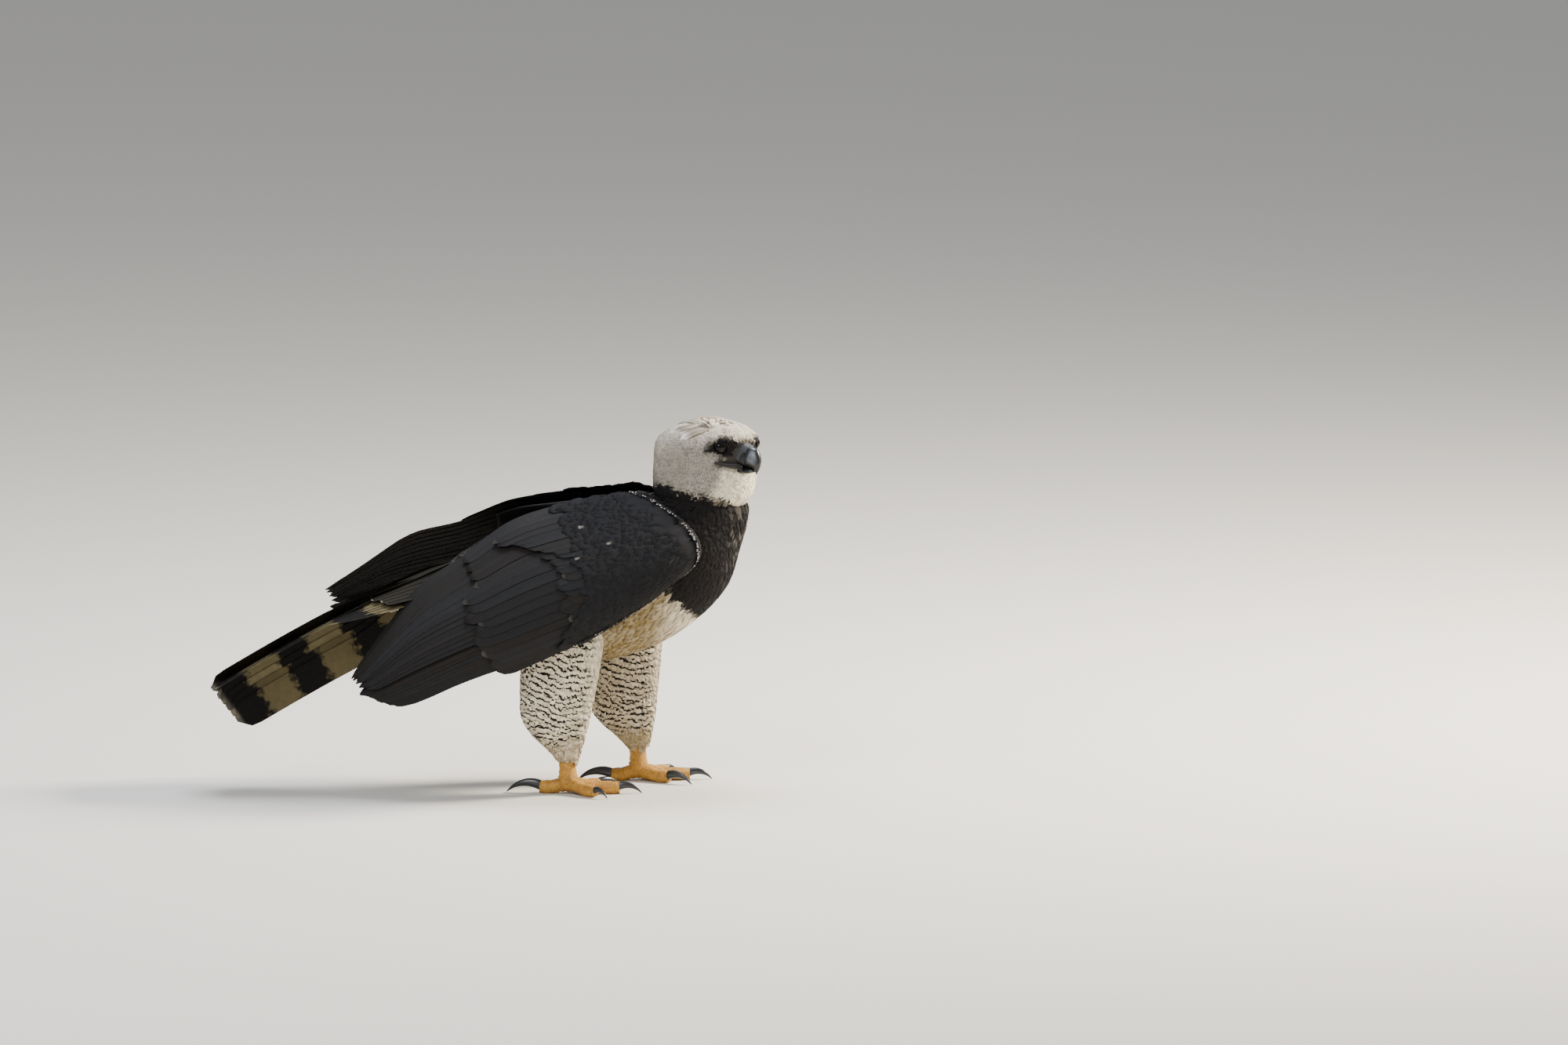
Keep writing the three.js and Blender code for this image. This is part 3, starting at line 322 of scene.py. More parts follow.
def tube(rings):
    """Points and corners of a closed tube through rings of points, turned so that its faces look out."""
    points, faces = rings.reshape(-1, 3), tube_faces(*rings.shape[:2])
    a, b, c, d = (points[faces[0][:, i]] for i in range(4))
    volume = np.einsum("ij,ij->", a, np.cross(b, c)) + np.einsum("ij,ij->", a, np.cross(c, d))
    if volume < 0:
        faces = [rows[:, ::-1] for rows in faces]
    return points, faces


def joined(parts):
    """Several point arrays and their corners as one."""
    points = np.concatenate([part[0] for part in parts])
    starts = np.cumsum([0] + [len(part[0]) for part in parts[:-1]])
    groups = {}
    for start, (_, faces) in zip(starts, parts):
        for rows in faces:
            groups.setdefault(rows.shape[1], []).append(rows + start)
    return points, [np.concatenate(rows) for rows in groups.values()]


def sweep(surface, first, last, rings, sides, extra):
    """Rings of a surface of (fraction, angle) between two fractions."""
    angles = np.arange(sides) / sides * 2 * np.pi
    s, angle = np.meshgrid(np.linspace(first, last, rings), angles, indexing="ij")
    return tube(surface(s, angle, extra))


def ragged(points, size, seed):
    """A soft random field of about -1 to 1, blobs size millimetres across: the sum of nine plane waves
    that run in all directions, over its usual spread."""
    rng = np.random.default_rng(seed)
    waves = unit(rng.normal(size=(RAGGED["waves"], 3))) * 2 * np.pi / (2 * size)
    waves = waves * rng.uniform(*RAGGED["sizes"], (RAGGED["waves"], 1))
    starts = rng.uniform(0, 2 * np.pi, RAGGED["waves"])
    return np.sin(points @ waves.T + starts).sum(-1) / RAGGED["spread"]


def apply_modifiers(piece):
    """The piece's mesh as its modifiers leave it, in place of the plain one."""
    shaped = piece.evaluated_get(bpy.context.evaluated_depsgraph_get())
    mesh = bpy.data.meshes.new_from_object(shaped)
    piece.modifiers.clear()
    piece.data = mesh


def set_attribute(mesh, name, kind, values):
    """Writes an array of numbers, or of four-part colours, to the mesh's vertices."""
    layer = mesh.attributes.new(name, kind, "POINT")
    key = "value" if kind == "FLOAT" else "color"
    layer.data.foreach_set(key, np.asarray(values, np.float32).ravel())


# Markings of the plumage, the same for the skin and for each feather from the place of its root. A pair
# of numbers is where a marking starts and where it is full; wave is how far its edge wanders, in
# millimetres or as a share, size how long the waves are and weight how dark it gets.
COLLAR = {"x": 191, "z": 468, "slope": math.radians(78), "hood": (19, 29), "wave": 5, "size": 16}
CROWN = {"up": (22, 38), "wave": 5, "size": 12}
MASK = {"ahead": 10, "long": 18, "high": 15.5, "beyond": 15, "edge": (0.6, 1.1), "wave": 0.2, "size": 9}
LORE = {"front": (34, 41), "low": (-20, -16), "high": (15, 19), "wave": 3, "size": 6, "weight": 0.88}
JAW = {"front": (30, 38), "top": (-3, 0), "foot": (7, 10), "weight": 0.6}
THROAT = {"down": (16, 28), "front": (-8, 16), "narrowing": 1.2}
PALE = {"up": (4, 28), "up_weight": 0.4, "back": (5, 50), "back_weight": 0.3}
WISPS = {"x": (215, 255), "patch": (0.2, 0.8), "size": 7, "weight": 0.08}
BAND = {"x": 135, "z": 352, "fall": 1.1, "edge": (-6, 10), "wave": 9, "size": 17}
BACK = {"edge": (-0.02, 0.22), "wave": 0.08, "size": 20}
RUMP = {"x": (125, 175), "fall": 0.95, "tips": (140, 200), "tip_weight": 0.08}
SMUDGE = {"patch": (0.35, 0.9), "size": 13, "weight": 0.2}
SCALLOPS = {"size": 5, "weight": 0.32, "crown_weight": 0.45, "tip_weight": 0.25, "crown_tip_weight": 0.4}
# ahead: where the bars fade out towards a thigh's front edge, as a painted highlight; foot: the heights
# where they fade in above the foot.
THIGH_BARS = {"ahead": (0.62, 0.85), "wave": 0.12, "size": 14, "foot": (88, 108), "foot_wave": 6,
              "foot_size": 12}
MOUTH = {"back": 35.5, "back_up": -17, "front": 62, "front_up": -21.5, "bow": 0.8}


def mouth_height(forward):
    """The line of the mouth: how high it lies in the head at a distance forward."""
    f = np.clip((forward - MOUTH["back"]) / (MOUTH["front"] - MOUTH["back"]), 0, 1)
    return MOUTH["back_up"] + (MOUTH["front_up"] - MOUTH["back_up"]) * f ** MOUTH["bow"]


def marking(points):
    """Weights of grey, black, bars and pale fringe at points, over a ground of cream. The head is grey
    above the collar plane, black round the eyes and dusky on the crown; the breast is black above a sloping
    line, and the back above the spine. Bars are left at nought here: the thighs' bars, kept off the front
    edge as a painted highlight, come from thigh_marking."""
    x, y, z = np.moveaxis(points, -1, 0)
    over = (x - COLLAR["x"]) * math.cos(COLLAR["slope"]) + (z - COLLAR["z"]) * math.sin(COLLAR["slope"])
    hood = smooth_step(over + COLLAR["wave"] * ragged(points, COLLAR["size"], 1), *COLLAR["hood"])
    forward, right, up = in_head(points)
    crown = smooth_step(up + CROWN["wave"] * ragged(points, CROWN["size"], 2), *CROWN["up"])

    ahead = (forward - EYE["forward"] - MASK["ahead"]) / MASK["long"]
    mask = ahead ** 2 + ((up - EYE["up"]) / MASK["high"]) ** 2
    mask = 1 - smooth_step(mask + MASK["wave"] * ragged(points, MASK["size"], 3), *MASK["edge"])
    mask = mask * (np.abs(right) > MASK["beyond"])
    lore = smooth_step(forward + LORE["wave"] * ragged(points, LORE["size"], 15), *LORE["front"])
    lore = lore * smooth_step(up, *LORE["low"]) * (1 - smooth_step(up, *LORE["high"]))
    below = mouth_height(forward) - up
    jaw = smooth_step(forward, *JAW["front"]) * smooth_step(below, *JAW["top"])
    jaw = jaw * (1 - smooth_step(below, *JAW["foot"]))
    scallops = smooth_step(ragged(points, SCALLOPS["size"], 9), 0, 1)
    scallops = scallops * (SCALLOPS["weight"] + SCALLOPS["crown_weight"] * crown)
    face = np.maximum.reduce((mask, lore * LORE["weight"], jaw * JAW["weight"], scallops))
    throat = smooth_step(-up, *THROAT["down"])
    throat = throat * smooth_step(forward - THROAT["narrowing"] * np.abs(right), *THROAT["front"])
    pale = np.maximum(PALE["up_weight"] * smooth_step(up, *PALE["up"]),
                      PALE["back_weight"] * smooth_step(-forward, *PALE["back"]))

    wisps = smooth_step(ragged(points, WISPS["size"], 10), *WISPS["patch"])
    wisps = wisps * smooth_step(x, *WISPS["x"]) * (1 - hood) * WISPS["weight"]
    slope = z - BAND["z"] + BAND["fall"] * (x - BAND["x"])
    band = smooth_step(slope + BAND["wave"] * ragged(points, BAND["size"], 4), *BAND["edge"])
    ring = SPINE[:9]
    rise = (z - np.interp(x, ring[:, 0], ring[:, 1])) / np.interp(x, ring[:, 0], ring[:, 3])
    rise = rise + BACK["wave"] * ragged(points, BACK["size"], 5)
    rise = rise + RUMP["fall"] * smooth_step(-x, *RUMP["x"])
    back = smooth_step(rise, *BACK["edge"])
    smudge = smooth_step(ragged(points, SMUDGE["size"], 6), *SMUDGE["patch"]) * SMUDGE["weight"]
    body = np.maximum(np.maximum(band, back), smudge)

    black = body * (1 - hood) * (1 - wisps) + hood * face
    grey = hood * (1 - np.maximum(throat, pale))
    head_tips = (SCALLOPS["tip_weight"] + SCALLOPS["crown_tip_weight"] * crown) * hood
    head_tips = head_tips * (1 - np.maximum(mask, lore))
    rump_tips = RUMP["tip_weight"] * smooth_step(-x, *RUMP["tips"]) * back * (1 - hood)
    return np.stack((grey, black, np.zeros_like(grey), head_tips + rump_tips + wisps), -1)


def thigh_marking(points, side):
    """The same weights on a thigh: bars everywhere but just over the foot and on the front edge, where they
    are left off as a painted highlight.
    """
    x, y, z = np.moveaxis(points, -1, 0)
    t = np.interp(-z, -TROUSER[:, 2], np.linspace(0, 1, len(TROUSER)))
    level = between(TROUSER, t)
    ahead = (x - level[..., 0] - leg_shift(side, z)) / level[..., 3]
    edge = THIGH_BARS
    bars = 1 - smooth_step(ahead + edge["wave"] * ragged(points, edge["size"], 7), *edge["ahead"])
    bars = bars * smooth_step(z + edge["foot_wave"] * ragged(points, edge["foot_size"], 8), *edge["foot"])
    black = np.zeros_like(bars)
    return np.stack((black, black, bars, black), -1)


# Buff is the feathers' own warm tone where a little is mixed in at random; on the belly and the far thigh
# it is painted shade.
PLUMAGE = {
    "cream": "#ece2cb", "buff": "#77643a", "white": "#fbf8f0", "grey": "#8b8479", "black": "#131010",
    "bar": "#100e0e",
}
# Millimetres across a cloud of the mottling and a bunch of barbs, drawn coarser than real barbs of about
# 0.3, which would not show; and how far a bunch stands up.
FEATHER_GRAIN = {"mottle": 11.111, "barbs": 1.1111, "height": 0.6}
BAR_SOFTNESS = 0.05


def to_metre(size):
    """How many cells of a pattern lie in a metre, from the size of one in millimetres."""
    return 1000 / size


def plumage(name, colours, bar_width=0.32, wobble=1.1, painted_root_shade=0.8, roughness=0.95, shine=0.25,
            tip_from=0.62):
    """Soft matt feather. Its colour mixes cream, grey and black by the marking, with black bars by the bar
    count and a paler fringe at the tips; painted shade darkens each root, where the feather above would
    shade it; the barbs are a fine bump."""
    material, shader = new_material(name, Roughness=roughness, **{"Specular IOR Level": shine})
    tree = material.node_tree
    marks = add_node(tree, "ShaderNodeAttribute", attribute_name="marking")
    parts = add_node(tree, "ShaderNodeSeparateColor", links={"Color": marks.outputs["Color"]})
    vane = add_node(tree, "ShaderNodeAttribute", attribute_name="vane")
    own = add_node(tree, "ShaderNodeSeparateColor", links={"Color": vane.outputs["Color"]})
    bars = add_node(tree, "ShaderNodeAttribute", attribute_name="bar")
    spot = add_node(tree, "ShaderNodeTexCoord")
    noise = add_node(tree, "ShaderNodeTexNoise",
                     values={"Scale": to_metre(FEATHER_GRAIN["mottle"]), "Detail": 3.0},
                     links={"Vector": spot.outputs["Object"]})
    ground = add_node(tree, "ShaderNodeMix", data_type="RGBA", links={"Factor": own.outputs["Blue"]},
                      values={"A": linear(colours["cream"]), "B": linear(colours["buff"])})
    grey = add_node(tree, "ShaderNodeMix", data_type="RGBA", values={"B": linear(colours["grey"])},
                    links={"A": ground.outputs["Result"], "Factor": parts.outputs["Red"]})
    black = add_node(tree, "ShaderNodeMix", data_type="RGBA", values={"B": linear(colours["black"])},
                     links={"A": grey.outputs["Result"], "Factor": parts.outputs["Green"]})
    drift = add_node(tree, "ShaderNodeMapRange", values={"To Min": -wobble / 2, "To Max": wobble / 2},
                     links={"Value": noise.outputs["Fac"]})
    count = add_node(tree, "ShaderNodeMath", operation="ADD",
                     links={0: drift.outputs[0], 1: bars.outputs["Fac"]})
    wave = add_node(tree, "ShaderNodeMath", operation="FRACT", links={0: count.outputs[0]})
    fold = add_node(tree, "ShaderNodeMath", operation="PINGPONG", values={1: 0.5},
                    links={0: wave.outputs[0]})
    stripe = add_node(tree, "ShaderNodeMapRange", interpolation_type="SMOOTHSTEP",
                      values={"From Min": bar_width / 2 - BAR_SOFTNESS,
                              "From Max": bar_width / 2 + BAR_SOFTNESS, "To Min": 1.0, "To Max": 0.0},
                      links={"Value": fold.outputs[0]})
    barred = add_node(tree, "ShaderNodeMath", operation="MULTIPLY",
                      links={0: stripe.outputs[0], 1: parts.outputs["Blue"]})
    striped = add_node(tree, "ShaderNodeMix", data_type="RGBA", values={"B": linear(colours["bar"])},
                       links={"A": black.outputs["Result"], "Factor": barred.outputs[0]})
    tip = add_node(tree, "ShaderNodeMapRange", interpolation_type="SMOOTHSTEP",
                   values={"From Min": tip_from, "From Max": 1 - (1 - tip_from) / 6},
                   links={"Value": own.outputs["Green"]})
    fringe = add_node(tree, "ShaderNodeMath", operation="MULTIPLY",
                      links={0: tip.outputs[0], 1: marks.outputs["Alpha"]})
    pale = add_node(tree, "ShaderNodeMix", data_type="RGBA", values={"B": linear(colours["white"])},
                    links={"A": striped.outputs["Result"], "Factor": fringe.outputs[0]})
    # Painted shade: the colour is darker at a feather's root, where the one above would shade it, and full
    # from its middle on.
    shade = add_node(tree, "ShaderNodeMapRange", links={"Value": own.outputs["Green"]},
                     values={"From Max": 0.5, "To Min": painted_root_shade, "To Max": 1.0})
    mottle = add_node(tree, "ShaderNodeMath", operation="MULTIPLY_ADD", values={1: 0.5, 2: 0.75},
                      links={0: noise.outputs["Fac"]})
    depth = add_node(tree, "ShaderNodeMath", operation="MULTIPLY",
                     links={0: shade.outputs[0], 1: mottle.outputs[0]})
    final = add_node(tree, "ShaderNodeVectorMath", operation="SCALE",
                     links={0: pale.outputs["Result"], "Scale": depth.outputs[0]})
    tree.links.new(final.outputs[0], shader.inputs["Base Color"])
    barbs = add_node(tree, "ShaderNodeTexNoise",
                     values={"Scale": to_metre(FEATHER_GRAIN["barbs"]), "Detail": 2.0},
                     links={"Vector": spot.outputs["Object"]})
    bump = add_node(tree, "ShaderNodeBump", links={"Height": barbs.outputs["Fac"]},
                    values={"Strength": 0.5, "Distance": FEATHER_GRAIN["height"] / 1000})
    tree.links.new(bump.outputs[0], shader.inputs["Normal"])
    return material


# Contour feather, loose barbs of keratin without a gloss: soft and matt, with pale, slightly ragged tips.
body_plumage = plumage("soft_body_feather", PLUMAGE)
# The same down to a few millimetres long on the head, where only the last of each tip is pale.
head_plumage = plumage("short_head_feather", PLUMAGE, tip_from=0.86)

parts = [sweep(trunk, 0.0, 1.0, *SKIN_GRID["trunk"], -SKIN_DEPTH["trunk"])]
parts.append(sweep(head, 0.0, DOME_TO, *SKIN_GRID["head"], -SKIN_DEPTH["head"]))
for side in (-1, 1):
    parts.append(sweep(trouser(side), 0.0, 1.0, *SKIN_GRID["trouser"], -SKIN_DEPTH["trouser"]))
points, faces = joined(parts)
skin = new_piece("body_skin", place(points), faces, body_plumage)
remesh = skin.modifiers.new("fuse", "REMESH")
remesh.mode = "VOXEL"
remesh.voxel_size = SKIN_VOXEL
remesh.use_smooth_shade = True
smooth = skin.modifiers.new("smooth", "SMOOTH")
smooth.iterations = SKIN_SMOOTHING
apply_modifiers(skin)
where = np.empty(len(skin.data.vertices) * 3, np.float32)
skin.data.vertices.foreach_get("co", where)
where = where.reshape(-1, 3).astype(float) * 1000 - ORIGIN
marks = marking(where)
low = (1 - smooth_step(where[:, 2], *SKIN_LEG_FROM))[:, None]
legs = np.where(where[:, 1:2] > 0, thigh_marking(where, 1), thigh_marking(where, -1))
marks = marks * (1 - low) + legs * low
set_attribute(skin.data, "marking", "FLOAT_COLOR", marks)
set_attribute(skin.data, "vane", "FLOAT_COLOR", np.full((len(where), 4), BARE_VANE))
set_attribute(skin.data, "bar", "FLOAT", where[:, 2] / BAR_SPACING)
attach(skin, "root")
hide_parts("torso", "neck", "head", "trouser_right", "trouser_left")


# The contour feathers of the body: soft, rounded, a few centimetres long, in staggered rows over the
# skin. Each is a thin closed blade rooted just under the skin, laid backwards and down over the next.

# The section of a small feather across its blade: left edge, shaft, right edge and underside.
TUFT_RING = np.array([(-1, 0), (0, 1), (1, 0), (0, -0.7)])
TUFT_STEPS = np.array([0, 0.32, 0.7, 1])
TUFT_WIDTHS = np.array([0.6, 1, 0.9, 0.3])
TUFT_RISE = np.array([0, 0.55, 0.86, 1])
TUFT_THICKNESS = 0.3 * np.array([1.2, 1, 0.7, 0.4])
TUFT_VARIES = {"length": 0.2, "half": 0.2, "rise": (0.92, 1.05), "turn": 0.16, "tint": 0.4,
               "warm_tint": 0.8}
PATCH = 0.003
# How finely a surface is measured, how far a root moves, as a share of its room, and the fewest in a row.
SCATTER = {"along": 81, "round": 97, "aside": 0.3, "onward": 0.25, "fewest": 3}
# Millimetres; hang is how much steeper than the surface a feather falls.
TRUNK_ROWS = {"spacing": 6.0, "length": 28, "half": 6.2, "rise": 5.5, "hang": 0.25}
NECK_ROWS = {"spacing": 4.6, "length": 21, "half": 4.6, "rise": 5.0, "hang": 0.25}
TUFT_DROOP = 0.05
ROOT_SUNK = 1.5
# No small feather is rooted deeper inside the head or the trunk than this share of their sections.
HEAD_HIDES = 0.8
TRUNK_HIDES = 0.85
SPINE_SEARCH = {"stations": 60, "off_plane": 60}
# Behind the first of these x the body's feathers take the buff tint in full, fading out by the second: on
# the cream belly it is painted shade under the wings.
BELLY_SHADE_X = (120, 190)
# How far, in parts of a surface, a feather may run along it and round it.
LONGEST_RUN = (0.25, 0.7)


def scattered(surface, first, last, spacing, rng, extra=0.0):
    """Roots on a surface between two fractions: rows one spacing apart, each evenly filled round its
    ring and staggered against the next; where the surface spreads, a row is doubled, where it
    narrows, roots drop out; and each moves a little at random."""
    s, angle = np.meshgrid(np.linspace(first, last, SCATTER["along"]),
                           np.linspace(0, 2 * np.pi, SCATTER["round"]), indexing="ij")
    grid = surface(s, angle, extra)
    steps = np.linalg.norm(np.diff(grid, axis=0), axis=-1)
    travelled = np.concatenate(([0], np.cumsum(steps.mean(1))))
    rows = max(2, int(round(travelled[-1] / spacing)))
    row_s = np.interp((np.arange(rows) + 0.5) / rows * travelled[-1], travelled, s[:, 0])
    roots = []
    for k, row in enumerate(row_s):
        ring = surface(np.full(SCATTER["round"], row), angle[0], extra)
        along = np.concatenate(([0], np.cumsum(np.linalg.norm(np.diff(ring, axis=0), axis=-1))))
        count = int(along[-1] / spacing)
        if count < SCATTER["fewest"]:
            continue
        moved = rng.uniform(-SCATTER["aside"], SCATTER["aside"], count)
        places = ((np.arange(count) + 0.5 * (k % 2)) / count + moved / count) % 1
        roots.append(np.stack((np.full(count, row), np.interp(places * along[-1], along, angle[0])), -1))
    s, angle = np.concatenate(roots).T
    step = (last - first) / rows
    local = surface(s + step / 2, angle, extra) - surface(s - step / 2, angle, extra)
    local = np.linalg.norm(local, axis=-1)
    copies = np.floor(local / spacing + rng.uniform(0, 1, len(s))).astype(int)
    number = np.concatenate([np.arange(c) for c in copies])
    s, angle, copies = (np.repeat(v, copies) for v in (s, angle, copies))
    moved = rng.uniform(-SCATTER["onward"], SCATTER["onward"], len(s))
    shift = ((number + 0.5) / copies - 0.5) + moved / copies
    return s + shift * step, angle


def slopes(surface, s, t, extra=0.0):
    """How a surface runs along each of its two fractions, and its unit normal, the cross product."""
    e = 1e-3
    along = (surface(s + e, t, extra) - surface(s - e, t, extra)) / (2 * e)
    across = (surface(s, t + e, extra) - surface(s, t - e, extra)) / (2 * e)
    return along, across, unit(np.cross(across, along))


def laid(surface, s, t, lie, length, steps, turn, extra=0.0, outward=1):
    """Middle lines of feathers: from each root the line runs in the surface along the lie's direction,
    turned by a random angle, for the feather's length. Gives points and normals at each step."""
    along, across, normal = slopes(surface, s, t, extra)
    normal = normal * outward
    flat = unit(lie - normal * (lie * normal).sum(-1, keepdims=True))
    flat = flat * np.cos(turn)[:, None] + np.cross(normal, flat) * np.sin(turn)[:, None]
    aa, bb, ab = (along**2).sum(-1), (across**2).sum(-1), (along * across).sum(-1)
    fa, fb = (flat * along).sum(-1), (flat * across).sum(-1)
    spread = np.maximum(aa * bb - ab * ab, 1e-6)
    ds, dt = (fa * bb - fb * ab) / spread, (fb * aa - fa * ab) / spread
    reach = np.minimum(length, LONGEST_RUN[0] / np.maximum(np.abs(ds), 1e-6))
    reach = np.minimum(reach, LONGEST_RUN[1] / np.maximum(np.abs(dt), 1e-6))[:, None] * steps
    path_s, path_t = s[:, None] + ds[:, None] * reach, t[:, None] + dt[:, None] * reach
    return surface(path_s, path_t, extra), slopes(surface, path_s, path_t, extra)[2] * outward


def blades(name, line, normal, half, thick, ring, values, patch, material, droop=0.0):
    """Many closed blades in one mesh. A point is line + across * half * x + up * (thick * y - droop *
    half * x^2), where (x, y) runs round the ring. values gives each blade's root marking, its random
    number and its bar count; patch gives each blade's corner and size on the unwrapped skin."""
    count, stations, sides = line.shape[0], line.shape[1], len(ring)
    direction = unit(np.gradient(line, axis=1))
    across = unit(np.cross(direction, normal))
    up = np.cross(across, direction)
    x, y = ring[:, 0], ring[:, 1]
    flat = across[:, :, None] * (half[..., None] * x)[..., None]
    lift = up[:, :, None] * (thick[..., None] * y - droop * half[..., None] * x * x)[..., None]
    points = (line[:, :, None] + flat + lift).reshape(-1, 3)
    n, k, i = np.meshgrid(np.arange(count), np.arange(stations - 1), np.arange(sides), indexing="ij")
    base = (n * stations + k) * sides
    following = (i + 1) % sides
    quads = np.stack((base + i, base + following, base + sides + following, base + sides + i), -1)
    first = np.arange(count)[:, None] * stations * sides
    last = first + (stations - 1) * sides
    ends = np.concatenate((first + np.arange(sides)[::-1], last + np.arange(sides)))
    piece = new_piece(name, place(points), [quads.reshape(-1, 4), ends], material)

    edges = np.empty(len(piece.data.edges) * 2, np.int32)
    piece.data.edges.foreach_get("vertices", edges)
    a, b = np.sort(edges.reshape(-1, 2), axis=1).T
    rim = np.isin(a % sides, np.flatnonzero(np.abs(x) == 1)) & (b - a == sides)
    piece.data.attributes.new("sharp_edge", "BOOLEAN", "EDGE").data.foreach_set("value", rim)

    f = np.linspace(0, 1, stations)
    shape = (count, stations, sides)
    own = np.stack((np.broadcast_to(x * 0.5 + 0.5, shape), np.broadcast_to(f[:, None], shape),
                    np.broadcast_to(values["random"][:, None, None], shape), np.ones(shape)), -1)
    set_attribute(piece.data, "vane", "FLOAT_COLOR", own)
    set_attribute(piece.data, "marking", "FLOAT_COLOR",
                  np.broadcast_to(values["marking"][:, None, None, :], shape + (4,)))
    set_attribute(piece.data, "bar", "FLOAT", np.broadcast_to(values["bar"][:, :, None], shape))

    corner, size = patch
    ring_u = np.stack((i, i + 1, i + 1, i), -1) / sides
    ring_v = np.stack((f[k], f[k], f[k + 1], f[k + 1]), -1)
    u = corner[:, 0][n][..., None] + size[0] * ring_u
    v = corner[:, 1][n][..., None] + size[1] * ring_v
    cap_u = corner[:, :1] + size[0] * (0.5 + 0.4 * x)
    cap_v = corner[:, 1:] + size[1] * 0.05 * y
    caps = np.concatenate((np.stack((cap_u[:, ::-1], cap_v[:, ::-1]), -1),
                           np.stack((cap_u, cap_v + size[1]), -1)))
    uv = np.concatenate((np.stack((u, v), -1).reshape(-1, 2), caps.reshape(-1, 2)))
    layer = piece.data.uv_layers.new(name="OFBake")
    layer.uv.foreach_set("vector", uv.astype(np.float32).ravel())
    return piece


def spine_fraction(points):
    """How far out from the spine points lie, as a share of the section they are nearest to; a point off
    a section's plane counts as farther out by a share for each 60 mm."""
    s = np.linspace(0, 1, SPINE_SEARCH["stations"])
    x, z, slope, half, side = (row[:, None] for row in between(SPINE, s).T)
    slope = np.radians(slope)
    dx, dz = points[:, 0] - x, points[:, 2] - z
    ahead = dx * np.cos(slope) + dz * np.sin(slope)
    rise = dz * np.cos(slope) - dx * np.sin(slope)
    out = np.sqrt((rise / half) ** 2 + (points[:, 1] / side) ** 2)
    out = out + np.abs(ahead) / SPINE_SEARCH["off_plane"]
    return out.min(0)


def head_fraction(points):
    """How far out from the head's axis points lie, as a share of the head's own surface there."""
    t = np.interp(points[:, 2] - HEAD_AT[2], HEAD[:, 0], np.linspace(0, 1, len(HEAD)))
    angle = np.arctan2(points[:, 1] - HEAD_AT[1], points[:, 0] - HEAD_AT[0])
    out = np.linalg.norm((points - HEAD_AT)[:, :2], axis=-1)
    reach = np.linalg.norm((head(t, angle) - HEAD_AT)[:, :2], axis=-1)
    outside = (points[:, 2] < HEAD_AT[2] + HEAD[0, 0]) | (points[:, 2] > HEAD_AT[2] + HEAD[-1, 0])
    return np.where(outside, 2.0, out / reach)


def unwrapped(high, wide=0.97):
    """Where roots lie on the flat pattern of their surface: its round is unrolled to the width wide and
    its length to the height high, with a margin of a hundredth."""
    return lambda s, angle: np.stack((0.01 + wide * angle / (2 * np.pi), 0.01 + high * s), -1)


def coat(name, surface, roots, lie, sizes, rng, extra, marks, material, unwrap, bar=0.0, outward=1,
         buff_shade_and_stain=0.0):
    """Small feathers on a surface. Each rises from under the skin to its full height at its tip, so that it
    lies over the roots of the next. Lengths, widths and directions vary at random; bar gives the bar count
    at each root and the bars' spacing, and buff_shade_and_stain how much of the buff tint a feather takes:
    painted shade on the belly and the far thigh, a little on both thighs and a warmer tone towards the
    foot."""
    s, angle = roots
    vary = TUFT_VARIES
    length = sizes["length"] * rng.uniform(1 - vary["length"], 1 + vary["length"], len(s))
    turn = rng.normal(0, vary["turn"], len(s))
    line, normal = laid(surface, s, angle, lie, length, TUFT_STEPS, turn, extra, outward)
    rise = sizes["rise"] * rng.uniform(*vary["rise"], len(s))[:, None] * TUFT_RISE
    line = line + normal * (rise - ROOT_SUNK * (TUFT_STEPS == 0))[..., None]
    half = sizes["half"] * rng.uniform(1 - vary["half"], 1 + vary["half"], len(s))[:, None] * TUFT_WIDTHS
    thick = np.broadcast_to(TUFT_THICKNESS, half.shape)
    phase = (bar[0] + length[:, None] * TUFT_STEPS / bar[1]) if bar else np.zeros(half.shape)
    tint = rng.uniform(0, vary["tint"], len(s)) * (1 - buff_shade_and_stain / 2) + vary["warm_tint"] * buff_shade_and_stain
    values = {"marking": marks, "random": tint, "bar": phase}
    patch = (unwrap(s, angle), (PATCH, PATCH))
    return blades(name, line, normal, half, thick, TUFT_RING, values, patch, material, droop=TUFT_DROOP)


rng = np.random.default_rng(11)
depth = -SKIN_DEPTH["trunk"]
for name, first, last, sizes in (
        ("body_feathers", 0.02, 0.62, TRUNK_ROWS), ("breast_feathers", 0.62, 1.0, NECK_ROWS)):
    s, angle = scattered(trunk, first, last, sizes["spacing"], rng, depth)
    roots = trunk(s, angle, depth)
    seen = head_fraction(roots) > HEAD_HIDES
    s, angle, roots = s[seen], angle[seen], roots[seen]
    lie = unit(-slopes(trunk, s, angle, depth)[0]) - np.array((0, 0, sizes["hang"]))
    piece = coat(name, trunk, (s, angle), lie, sizes, rng, depth, marking(roots), body_plumage,
                 unwrapped(0.97), outward=-1, buff_shade_and_stain=1 - smooth_step(roots[:, 0], *BELLY_SHADE_X))
    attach(piece, "root")


# The feathers of the head: short and fine on the face, longer over the hood, all lying back from the
# bill and turning down over the nape.

HEAD_ROWS = {"spacing": 3.75, "face": 8.5, "hood": 22, "half": 2.8, "rise": 3.3, "slimness": 0.045,
             "full": 12, "from": 0.12, "to": 1.85}
# Feathers grow from face to hood length towards the nape, and again below the cheeks.
LONGER_BACK = (-18, 45)
LONGER_DOWN = (30, 70)
FACE_AHEAD = unit(head_point(1, 0, 0) - head_point(0, 0, 0))
NAPE = {"behind": (-0.4, 0.7), "turn": 0.85, "fall": 0.3, "more_fall": 1.1}
EYE_CLEAR = 12.6
